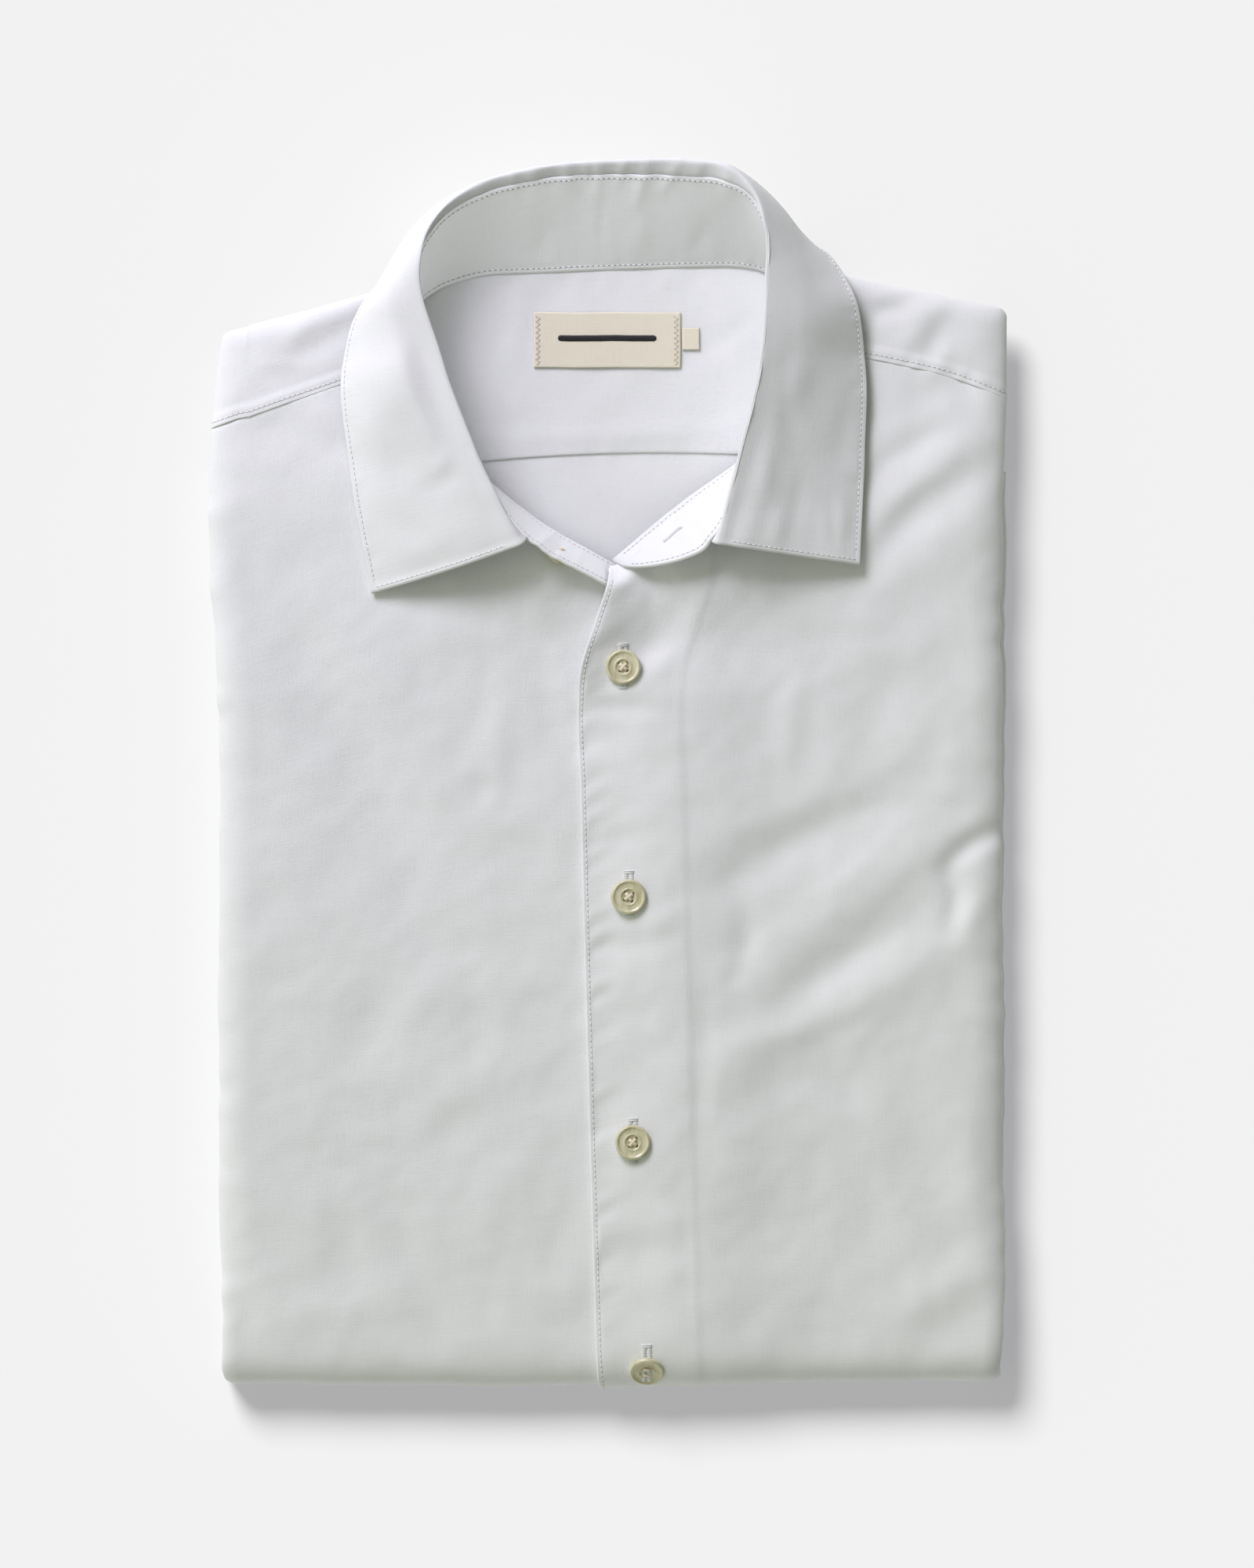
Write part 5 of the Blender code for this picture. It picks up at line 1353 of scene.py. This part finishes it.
# ---- Buttons --------------------------------------------------------------------------------
# Four-hole shirt buttons turned from pale shell, with a raised rim and a ring round the dished
# middle. Each is sewn on through all four holes and wrapped to a short shank.
BUTTON_SIZE, COLLAR_BUTTON_SIZE = 12.4, 10.8
SEAT_GAP = 0.3
SHELL_PALE, SHELL_DEEP = (0.73, 0.70, 0.50, 1), (0.54, 0.49, 0.30, 1)
HOLE_RADIUS, HOLE_REACH = 0.6, 1.22
THREAD_BEIGE = (0.90, 0.80, 0.62, 1)
THREAD_WHITE = (0.92, 0.925, 0.93, 1)
Ring = namedtuple("Ring", "share inset z")  # at a share of the radius, less an inset
BUTTON_PROFILE = [
    Ring(0.0, 0.0, 0.0), Ring(1.0, 1.5, 0.0), Ring(1.0, 0.7, 0.22), Ring(1.0, 0.2, 0.65),
    Ring(1.0, 0.0, 1.15), Ring(1.0, 0.08, 1.65), Ring(1.0, 0.3, 2.08), Ring(1.0, 0.62, 2.3),
    Ring(1.0, 0.95, 2.28), Ring(1.0, 1.2, 2.08), Ring(1.0, 1.45, 1.92), Ring(1.0, 1.9, 1.86),
    Ring(0.52, 0.0, 1.84), Ring(0.485, 0.0, 1.94), Ring(0.455, 0.0, 2.02), Ring(0.425, 0.0, 1.94),
    Ring(0.39, 0.0, 1.68), Ring(0.34, 0.0, 1.42), Ring(0.2, 0.0, 1.34), Ring(0.0, 0.0, 1.32),
]
BUTTON_SIDES = 64


def shell_finish():
    """Pale shell: cloudy bands of two ivories, with a clear polish."""
    made, tree, shader = new_finish("shell", 0.30, Coat_Weight=0.4, Coat_Roughness=0.12)
    place = node(tree, "ShaderNodeTexCoord")
    cloud = stretched_noise(tree, place.outputs["Object"], 3.0, 9.0, 3.0)
    fine = stretched_noise(tree, place.outputs["Object"], 0.8, 2.4, 2.0)
    shares = joined(tree, "MULTIPLY", cloud, 0.75), joined(tree, "MULTIPLY", fine, 0.25)
    mixed = joined(tree, "ADD", *shares)
    bands = node(tree, "ShaderNodeMapRange", clamp=True)
    bands.inputs["From Min"].default_value = 0.36
    bands.inputs["From Max"].default_value = 0.64
    tree.links.new(mixed, bands.inputs["Value"])
    tinted(tree, shader, bands.outputs["Result"], SHELL_DEEP, SHELL_PALE)
    return made


def thread_finish(name, colour):
    """Twisted sewing thread: fine ridges round it, with painted shade that darkens it where the ridges are
    low, between the plies.
    """
    made, tree, shader = new_finish(name, 0.6, Sheen_Weight=0.2)
    place = node(tree, "ShaderNodeTexCoord")
    plies = stretched_noise(tree, place.outputs["Object"], 0.25, 0.25, 1.0)
    # Painted shade: the colour darkens where the bump below is low, between the plies.
    low_ply_shade = tuple(0.88 * c for c in colour[:3]) + (1,)
    tinted(tree, shader, plies, low_ply_shade, colour)
    embossed(tree, shader, plies, 0.4, 0.1)
    return made


shell = shell_finish()
button_thread = thread_finish("button thread", THREAD_BEIGE)
white_thread = thread_finish("white thread", THREAD_WHITE)


def tubes_mesh(name, paths, thick, sides=7):
    """Round threads along paths of points, all in one mesh, with closed ends."""
    verts, faces = [], []
    turn = np.linspace(0, 2 * math.pi, sides, endpoint=False)
    for path in paths:
        path = np.asarray(path, float)
        ahead = np.gradient(path, axis=0)
        ahead /= np.linalg.norm(ahead, axis=1)[:, None]
        side = np.cross(ahead, (0.13, 0.31, 0.94))
        side /= np.linalg.norm(side, axis=1)[:, None]
        up = np.cross(side, ahead)
        narrow = np.ones(len(path))
        narrow[[0, -1]] = 0.35
        first = len(verts)
        for p, s, u, n in zip(path, side, up, narrow):
            verts.extend(p + thick / 2 * n * (np.cos(a) * s + np.sin(a) * u) for a in turn)
        for r in range(len(path) - 1):
            for k in range(sides):
                a, b = first + r * sides + k, first + r * sides + (k + 1) % sides
                faces.append((a, b, b + sides, a + sides))
        faces.append([first + k for k in range(sides)][::-1])
        faces.append([first + (len(path) - 1) * sides + k for k in range(sides)])
    mesh = bpy.data.meshes.new(name)
    mesh.from_pydata((np.array(verts) * MM).tolist(), [], faces)
    mesh.shade_smooth()
    return mesh


def seat(place, normal):
    """The matrix that stands a button on its seat, facing along the cloth's normal."""
    up = np.array(normal, float)
    up /= np.linalg.norm(up)
    across = np.cross((0.0, 1.0, 0.0), up)
    across /= np.linalg.norm(across)
    matrix = np.eye(4)
    matrix[:3, 0], matrix[:3, 1], matrix[:3, 2] = across, np.cross(up, across), up
    matrix[:3, 3] = np.array(place, float) + up * SEAT_GAP
    return matrix


def placed(mesh, matrix):
    """A mesh's copy, moved for good by a matrix whose lengths are millimetres."""
    moved = mesh.copy()
    steps = np.array(matrix)
    steps[:3, 3] *= MM
    moved.transform(Matrix(steps.tolist()))
    return moved


def button_blank(name, size):
    """The turned and drilled button, lying at the origin."""
    turn = np.linspace(0, 2 * math.pi, BUTTON_SIDES, endpoint=False)
    bm = bmesh.new()
    loops = []
    for ring in BUTTON_PROFILE:
        radius = size / 2 * ring.share - ring.inset
        if radius <= 0:
            loops.append([bm.verts.new((0, 0, ring.z * MM))])
            continue
        loops.append([
            bm.verts.new((radius * MM * math.cos(a), radius * MM * math.sin(a), ring.z * MM)) for a in turn
        ])
    for lower, upper in zip(loops, loops[1:]):
        for k in range(BUTTON_SIDES):
            j = (k + 1) % BUTTON_SIDES
            corners = [loop[i % len(loop)] for loop, i in ((lower, k), (lower, j), (upper, j), (upper, k))]
            bm.faces.new(list(dict.fromkeys(corners)))
    bmesh.ops.recalc_face_normals(bm, faces=bm.faces)
    mesh = bpy.data.meshes.new(name)
    bm.to_mesh(mesh)
    bm.free()
    blank = add_piece(name, mesh, shell)
    holes = []
    for x, y in ((-1, -1), (1, -1), (1, 1), (-1, 1)):
        round_hole = [
            (HOLE_REACH * x + HOLE_RADIUS * math.cos(a), HOLE_REACH * y + HOLE_RADIUS * math.sin(a))
            for a in turn[::4]
        ]
        holes.append((round_hole, -1.0, 4.0))
    carve(blank, holes)
    blank.data.shade_smooth()
    blank.data.set_sharp_from_angle(angle=math.radians(45))
    drilled = blank.data
    bpy.data.objects.remove(blank, do_unlink=True)
    return drilled


SEWING_THREAD, SEWING_APART = 0.50, 0.32
SEWING_ABOVE, SEWING_ARCH, SEWING_SPREAD = 1.45, 0.72, 1.12  # how the thread stands over the holes
SHANK_RADIUS, SHANK_LOW, SHANK_STEP, SHANK_TURNS = 1.15, -0.35, 0.22, 3


def sewing(pairs):
    """Thread paths over the button's middle, between pairs of holes, and down to the cloth."""
    paths = []
    for (x0, y0), (x1, y1) in pairs:
        for shift in (-SEWING_APART, 0.0, SEWING_APART):
            aside = np.array([y0 - y1, x1 - x0]) / math.hypot(x1 - x0, y1 - y0) * shift
            points = []
            for t in np.linspace(0, 1, 13):
                low = -0.9 * smooth(0.12, 0.0, min(t, 1 - t)) * 1.6
                arch = SEWING_ARCH * math.sin(math.pi * t) ** 0.6
                x = HOLE_REACH * (x0 + (x1 - x0) * t) * SEWING_SPREAD + aside[0]
                y = HOLE_REACH * (y0 + (y1 - y0) * t) * SEWING_SPREAD + aside[1]
                z = SEWING_ABOVE + arch + low + 0.16 * (1 - abs(shift) / SEWING_APART)
                points.append((x, y, z))
            paths.append(points)
    for turn_up in range(SHANK_TURNS):
        angle = np.linspace(0, 2 * math.pi, 17)
        height = SHANK_LOW + SHANK_STEP * turn_up
        paths.append([(SHANK_RADIUS * math.cos(a), SHANK_RADIUS * math.sin(a), height) for a in angle])
    return paths


CROSSED = [((-1, -1), (1, 1)), ((-1, 1), (1, -1))]
PARALLEL = [((-1, 1), (1, 1)), ((-1, -1), (1, -1))]
BUTTON_PITCH = 82.0
HANGS_BACK, HANGS_OVER = 2.5, 0.28  # the button on the fold tips over its edge
FOLD_BUTTON_X, FOLD_BUTTON_TURN = 13.6, 42  # and sits this many degrees round it
UNDER_BUTTON_X, UNDER_BUTTON_Y = 12.0, -147.0  # the first of the three underneath
COLLAR_BUTTON_UP = 0.47  # its share of the way from the neck seam to the band's upper edge
CHEST_BUTTONS = ((5.4, 37.5, 4), (7.3, -42.8, -9), (8.7, -128.6, 6))  # x, y and turn in degrees
Button = namedtuple("Button", "node place normal size sewn turned")


def button_seats():
    """Where every button sits: on the chest, on the bottom fold, underneath, and on the tab."""
    seats = []
    for number, (x, y, turned) in enumerate(CHEST_BUTTONS, 1):
        chest_rows = left_front[:CHEST_ROWS]
        nearest = np.hypot(chest_rows[..., 0] - x, chest_rows[..., 1] - y).argmin()
        height = float(chest_rows[..., 2].flat[nearest]) + 0.1
        seats.append(Button(f"button_{number}", (x, y, height), (0, 0, 1), BUTTON_SIZE, CROSSED, turned))
    x, turn = FOLD_BUTTON_X, math.radians(FOLD_BUTTON_TURN)
    fold = float(column(FOLD_LINE, "x", "fold", x))
    normal = np.array([0.0, -math.sin(turn) / FOLD_ROLL, math.cos(turn) / MIDDLE])
    normal /= np.linalg.norm(normal)
    out, raised = fold_section(turn)
    place = np.array([x, fold + FOLD_ROLL * (1 - out), MIDDLE * (1 + raised)])
    place = place + normal * (PLACKET_STEP + 0.1) + (0, HANGS_BACK, 0)
    normal = normal + (0, -HANGS_OVER, 0)
    seats.append(Button("button_4", place, normal, BUTTON_SIZE, PARALLEL, -3))
    for number in (5, 6, 7):
        place = (UNDER_BUTTON_X, UNDER_BUTTON_Y + BUTTON_PITCH * (number - 5), BUTTON_HOLLOW)
        seats.append(Button(f"button_{number}", place, (0, 0, -1), BUTTON_SIZE, CROSSED, 0))
    neck, seam = (collar_curve(n, tabs=True)[TAB_STATIONS * 3 // 5] for n in ("neck", "seam"))
    ahead = collar_curve("neck", tabs=True)[TAB_STATIONS * 4 // 5] - neck
    outward = np.cross(ahead, seam - neck)
    outward /= np.linalg.norm(outward)
    outward *= -1 if outward[2] > 0 else 1
    place = neck + (seam - neck) * COLLAR_BUTTON_UP + outward * (BAND_CLOTH + 0.7)
    seats.append(Button("button_collar", place, outward, COLLAR_BUTTON_SIZE, CROSSED, 0))
    return seats


BUTTONS = button_seats()
blanks = {size: button_blank("button blank", size) for size in (BUTTON_SIZE, COLLAR_BUTTON_SIZE)}
for button in BUTTONS:
    stand = seat(button.place, button.normal)
    spin = np.array(Matrix.Rotation(math.radians(button.turned), 4, "Z"))
    disc = add_piece(button.node + "_shell", placed(blanks[button.size], stand @ spin), shell)
    sewn_mesh = tubes_mesh("sewing", sewing(button.sewn), SEWING_THREAD)
    thread = add_piece(button.node + "_thread", placed(sewn_mesh, stand @ spin), button_thread)
    disc.data.materials.clear()  # the blank already had one
    disc.data.materials.append(shell)
    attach(disc, "root")
    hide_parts(button.node)
    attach(thread, "root")

# ---- Topstitching ---------------------------------------------------------------------------
# White cotton lockstitch, thirteen to the inch, that is pulled a little way into the cloth: along
# the front edge, round the leaf, the band and its tabs, and beside the yoke's seams and hem.
STITCH_PITCH, STITCH_LENGTH, STITCH_THREAD = 1.9, 1.35, 0.30
STITCH_SIDES = 6
STITCH_SHAPE = [  # a stitch's rings: place along it, width and height, as shares of its sizes
    (-0.5, 0.15, -0.30),
    (-0.36, 0.8, 0.02),
    (0.0, 1.0, 0.14),
    (0.36, 0.8, 0.02),
    (0.5, 0.15, -0.30),
]
# Dark flat discs between the stitches are painted shade where the thread dives into the cloth. Next come
# their radius, on the thicker band too, their height above the cloth, and their grey.
SHADE_DOT_RADIUS, BAND_SHADE_DOT_RADIUS, SHADE_DOT_RISE = 0.27, 0.37, 0.09  # radius, on the thicker band too, and height
PAINTED_SHADE_GREY = (0.42, 0.43, 0.42, 1)
stitch_hole_shade = thread_finish("painted shade of stitch holes", PAINTED_SHADE_GREY)
HEM_STITCH = 7.0
FRONT_STITCH, BAND_STITCH = 1.7, 1.6
NORMAL_RISE = 0.04


def on_grid(grid, rows, cols):
    """Points of a surface, and its normals there, at fractional rows and columns of its grid."""
    normal = np.cross(np.gradient(grid, axis=1), np.gradient(grid, axis=0))
    normal /= np.maximum(np.linalg.norm(normal, axis=2), 1e-9)[..., None]
    rows, cols = np.broadcast_arrays(np.asarray(rows, float), np.asarray(cols, float))
    r = np.clip(rows.astype(int), 0, grid.shape[0] - 2)
    c = np.clip(cols.astype(int), 0, grid.shape[1] - 2)
    v, u = (rows - r)[:, None], (cols - c)[:, None]
    found = []
    for field in (grid, normal):
        low = field[r, c] * (1 - u) + field[r, c + 1] * u
        high = field[r + 1, c] * (1 - u) + field[r + 1, c + 1] * u
        found.append(low * (1 - v) + high * v)
    return found[0], found[1] / np.linalg.norm(found[1], axis=1)[:, None]


def read_along(at, run, field):
    """A line's points, or its normals, at lengths along it."""
    return np.stack([np.interp(at, run, field[:, i]) for i in range(3)], axis=-1)


def stitch_run(
    points, normals, pitch=STITCH_PITCH, length=STITCH_LENGTH, thick=STITCH_THREAD, hole=SHADE_DOT_RADIUS
):
    """The corners and faces of a row of stitches, and dark discs between them that are painted shade where
    the thread dives into the cloth.

    Each stitch is a short fat thread with its ends pulled in.
    """
    run = lengths_along(points)
    turn = np.linspace(0, 2 * math.pi, STITCH_SIDES, endpoint=False)
    verts, faces, holes = [], [], []
    for k in range(int(run[-1] / pitch)):
        middle = (k + 0.5 + 0.07 * float(uneven(k, 0.7, 71))) * pitch
        at = [middle + length * s[0] for s in STITCH_SHAPE] + [middle + pitch / 2]
        place, up = read_along(at, run, points), read_along(middle, run, normals)
        ahead = place[-2] - place[0]
        if np.linalg.norm(ahead) < 0.3 * length:
            continue
        ahead /= np.linalg.norm(ahead)
        side = np.cross(ahead, up)
        side /= np.linalg.norm(side)
        first = len(verts)
        for p, (_, wide, rise) in zip(place, STITCH_SHAPE):
            centre = p + up * (rise * thick + NORMAL_RISE)
            verts.extend(centre + thick / 2 * wide * (np.cos(a) * side + np.sin(a) * up) for a in turn)
        for r in range(len(STITCH_SHAPE) - 1):
            for i in range(STITCH_SIDES):
                a, b = first + r * STITCH_SIDES + i, first + r * STITCH_SIDES + (i + 1) % STITCH_SIDES
                faces.append((a, a + STITCH_SIDES, b + STITCH_SIDES, b))
        faces.append([first + i for i in range(STITCH_SIDES)])
        faces.append([first + (len(STITCH_SHAPE) - 1) * STITCH_SIDES + i for i in range(STITCH_SIDES)][::-1])
        # A dark flat disc between two stitches: painted shade where the thread dives into the cloth, not a
        # dimple.
        holes.append([len(verts) + i for i in range(STITCH_SIDES)])
        centre = place[-1] + up * SHADE_DOT_RISE
        verts.extend(centre + hole * (np.cos(a) * ahead - 0.8 * np.sin(a) * side) for a in turn)
    return np.array(verts).reshape(-1, 3), faces, holes


def add_stitching(name, runs, thread, **sizes):
    """One piece with every stitch of the runs. A run is points and the cloth's normals there."""
    verts, faces, holes, count = [], [], [], 0
    for points, normals in runs:
        made, joins, shade_dots = stitch_run(points, normals, **sizes)
        verts.append(made)
        faces += [[count + i for i in face] for face in joins]
        holes += [[count + i for i in face] for face in shade_dots]
        count += len(made)
    mesh = bpy.data.meshes.new(name)
    mesh.from_pydata((np.vstack(verts) * MM).tolist(), [], faces + holes)
    mesh.shade_smooth()
    piece = add_piece(name, mesh, thread)
    # The discs take the dark grey of painted shade.
    mesh.materials.append(stitch_hole_shade)
    for face in mesh.polygons[len(faces):]:
        face.material_index = 1
    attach(piece, "root")
    return piece


def row_at(grid, inset, from_last=False):
    """For every column of a grid, the fractional row that lies so far from its first row."""
    rows = grid[::-1] if from_last else grid
    run = np.cumsum(np.linalg.norm(np.diff(rows, axis=0), axis=2), axis=0)
    run = np.vstack([np.zeros(run.shape[1]), run])
    at = np.array([np.interp(inset, run[:, c], np.arange(len(run))) for c in range(run.shape[1])])
    return grid.shape[0] - 1 - at if from_last else at


def column_at(grid, inset, from_last=False):
    """For every row of a grid, the fractional column that lies so far from its first column."""
    return row_at(grid.transpose(1, 0, 2), inset, from_last)


outer_row = row_at(leaf, LEAF_EDGE, from_last=True)
front_runs = []
for last in (False, True):
    side_at = column_at(leaf, LEAF_EDGE, last)
    shown = np.arange(9, leaf.shape[0] - 5)
    front_runs.append(on_grid(leaf, shown, side_at[shown]))
outer_cols = np.arange(3, leaf.shape[1] - 3)
outer_run = on_grid(leaf, outer_row[outer_cols], outer_cols)
add_stitching("leaf_stitching", [*front_runs, outer_run], white_thread)

band_face = band_grid()
band_cols = np.arange(2, band_face.shape[1] - 3)
neck_run = on_grid(band_face, row_at(band_face, BAND_STITCH)[band_cols], band_cols)
top_rows = row_at(band_face, BAND_STITCH, from_last=True)[band_cols]
top_run = on_grid(band_face, top_rows, band_cols)
add_stitching("band_stitching", [neck_run, top_run], white_thread, hole=BAND_SHADE_DOT_RADIUS)

left_cols = front_columns()
front_col = len(left_cols.turn) - 1 - int(np.argmin(
    np.abs(left_cols.offset - FRONT_STITCH) + 9 * (left_cols.share > 0) + 9 * (left_cols.tuck > 0)
))
visible = np.flatnonzero(left_front[:, front_col, 1] < 70.0)
visible = visible[visible > 3]
edge_run = on_grid(left_front, visible, np.full(len(visible), front_col))
add_stitching("front_edge_stitching", [edge_run], white_thread)

YOKE_TOP = 9  # the yoke grid's first row on its upper face
yoke_face = yoke_outer[YOKE_TOP:]
yoke_runs = []
for outside in (yoke_face[0, :, 0] < -76, yoke_face[0, :, 0] > 80):
    shown = np.flatnonzero(outside)
    yoke_runs.append(on_grid(yoke_face, row_at(yoke_face, YOKE_STITCH)[shown], shown))
for panel, cols in ((left_front, left_cols.share[::-1]), (right_front, left_cols.share)):
    flat_cols = np.flatnonzero((cols < 1) & (np.abs(panel[-1, :, 2]) < 4.9))
    yoke_runs.append(on_grid(panel, row_at(panel, HEM_STITCH, from_last=True)[flat_cols], flat_cols))
add_stitching("seam_stitching", yoke_runs, white_thread)

# ---- Buttonholes ----------------------------------------------------------------------------
# Worked by machine in white thread: a row of purl stitches on each side of the slit, with a
# bar tack across both ends. They run along the placket, and along the band on its left tab.
HOLE_LENGTH, HOLE_ABOVE = 16.0, 0.9  # the button hangs low in its hole by so much
PURL_PITCH, PURL_THREAD = 0.40, 0.36
TAB_SLIT, TAB_HOLE_WIDTH = ((19.0, 81.0), (25.9, 86.3)), 0.32  # the tab's, which is finer
PURL_ARC = [(0.10, -0.12), (0.30, 0.22), (1.00, 0.28), (1.60, 0.14), (1.80, -0.15)]
TACK_ARC = [(-2.0, -0.1), (-1.5, 0.32), (0.0, 0.45), (1.5, 0.32), (2.0, -0.1)]


def buttonhole(points, normals, width=1.0):
    """Thread paths for one buttonhole whose slit runs along the points."""
    run = lengths_along(points)
    paths = []
    for k, at in enumerate(np.arange(PURL_PITCH / 2, run[-1], PURL_PITCH)):
        centre, up = read_along(at, run, points), read_along(at, run, normals)
        ahead = read_along(at + 0.5, run, points) - read_along(at - 0.5, run, points)
        side = np.cross(ahead, up)
        side /= np.linalg.norm(side)
        reach = width * (1 + 0.08 * float(uneven(k, 1.3, 81)))
        for way in (-1, 1):
            paths.append([centre + side * way * reach * a + up * h for a, h in PURL_ARC])
        if min(at, run[-1] - at) < 1.1:
            paths.append([centre + side * reach * a + up * h for a, h in TACK_ARC])
    return paths


def placket_slit(button):
    """The line along the left front, at the button's own x, that its hole is cut on."""
    flat_cols = np.flatnonzero((left_cols.share[::-1] == 0) & (left_cols.tuck[::-1] == 0))[::-1]
    rows = np.arange(3, left_front.shape[0] - 2)
    cols = np.array([np.interp(button.place[0], left_front[r, flat_cols, 0], flat_cols) for r in rows])
    points, normals = on_grid(left_front, rows, cols)
    nearest = int(np.linalg.norm(points - np.array(button.place), axis=1).argmin())
    run = lengths_along(points)
    middle = run[nearest] - HOLE_ABOVE
    wanted = np.linspace(middle - HOLE_LENGTH / 2, middle + HOLE_LENGTH / 2, 24)
    return read_along(wanted, run, points), read_along(wanted, run, normals)


def cell_at(grid, place):
    """The row and column of a grid's point that lies nearest to a place in plan."""
    away = np.hypot(*(grid[..., :2] - place).transpose(2, 0, 1))
    return np.unravel_index(away.argmin(), grid.shape[:2])


purl_paths = []
for button in BUTTONS[:7]:
    purl_paths += buttonhole(*placket_slit(button))
slit_cells = [cell_at(band_face, end) for end in TAB_SLIT]
slit_rows, slit_cols = (np.linspace(slit_cells[0][i], slit_cells[1][i], 20) for i in range(2))
purl_paths += buttonhole(*on_grid(band_face, slit_rows, slit_cols), width=TAB_HOLE_WIDTH)
purl_mesh = tubes_mesh("purl", purl_paths, PURL_THREAD, sides=5)
holes = add_piece("buttonhole_stitching", purl_mesh, white_thread)
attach(holes, "root")

# The collar button's thread comes through the right tab as a small cross.
KNOT, KNOT_THREAD = (-15.8, 78.4), 0.42
KNOT_LINES = [  # each thread's two ends
    (-0.9, -0.9, 0.9, 0.9),
    (-0.9, 0.9, 0.9, -0.9),
    (-0.9, -0.7, -0.9, 0.9),
    (0.9, -0.9, 0.8, 0.9),
]
knot_cell = cell_at(band_face, KNOT)
knot_place, knot_up = (f[0] for f in on_grid(band_face, [knot_cell[0]], [knot_cell[1]]))
knot_stand = seat(knot_place, knot_up)
knot_paths = [
    [
        (x0 + (x1 - x0) * t, y0 + (y1 - y0) * t, 0.45 * math.sin(math.pi * t) - 0.3)
        for t in np.linspace(0, 1, 9)
    ]
    for x0, y0, x1, y1 in KNOT_LINES
]
knot_mesh = placed(tubes_mesh("knot", knot_paths, KNOT_THREAD), knot_stand)
knot = add_piece("collar_button_knot", knot_mesh, button_thread)
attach(knot, "root")

# ---- Label stitching ------------------------------------------------------------------------
# Cream zigzag holds the label's short ends. Its plain black bar is satin stitch: threads laid
# side by side across the bar, fuller in the middle.
ZIG_WIDTH, ZIG_PITCH, ZIG_INSET = 1.3, 0.95, 1.5
BAR_LENGTH, BAR_WIDTH, BAR_THREAD, BAR_Y = 34.5, 2.4, 0.36, 0.6
BAR_BLACK = (0.012, 0.012, 0.014, 1)
CREAM_THREAD = (0.66, 0.54, 0.40, 1)
cream_thread = thread_finish("cream thread", CREAM_THREAD)
black_thread = thread_finish("black thread", BAR_BLACK)


def label_height(x, y):
    rows = np.interp(y, label_face[:, 40, 1], np.arange(label_face.shape[0]))
    cols = np.interp(x, label_face[12, :, 0], np.arange(label_face.shape[1]))
    return on_grid(label_face, rows, cols)


zig_runs = []
for x in (LABEL.x - LABEL.width / 2 + ZIG_INSET, LABEL.x + LABEL.width / 2 - ZIG_INSET):
    count = int(LABEL.depth / ZIG_PITCH) - 1
    y = LABEL.y - LABEL.depth / 2 + 0.8 + ZIG_PITCH * np.arange(count)
    zig = x + ZIG_WIDTH / 2 * np.where(np.arange(count) % 2, 1, -1)
    for k in range(count - 1):
        t = np.linspace(0, 1, 6)
        zig_runs.append(label_height(zig[k] + (zig[k + 1] - zig[k]) * t, y[k] + (y[k + 1] - y[k]) * t))
add_stitching("label_zigzag", zig_runs, cream_thread, pitch=1.5, length=1.55, thick=0.30)

bar_paths = []
for k, x in enumerate(np.arange(-BAR_LENGTH / 2, BAR_LENGTH / 2, BAR_THREAD * 0.8)):
    round_end = max(0.0, abs(x) - BAR_LENGTH / 2 + BAR_WIDTH / 2)
    end = math.sqrt(max(0.0, 1 - round_end**2 / (BAR_WIDTH / 2) ** 2))
    half = BAR_WIDTH / 2 * end * (1 + 0.03 * float(uneven(k, 1.1, 91)))
    t = np.linspace(-1, 1, 7)
    points, _ = label_height(np.full(7, LABEL.x + x), LABEL.y + BAR_Y + half * t)
    points[:, 2] += 0.30 * (1 - np.abs(t) ** 3) - 0.10
    bar_paths.append(points)
bar = add_piece("label_bar", tubes_mesh("bar", bar_paths, BAR_THREAD, sides=6), black_thread)
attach(bar, "root")
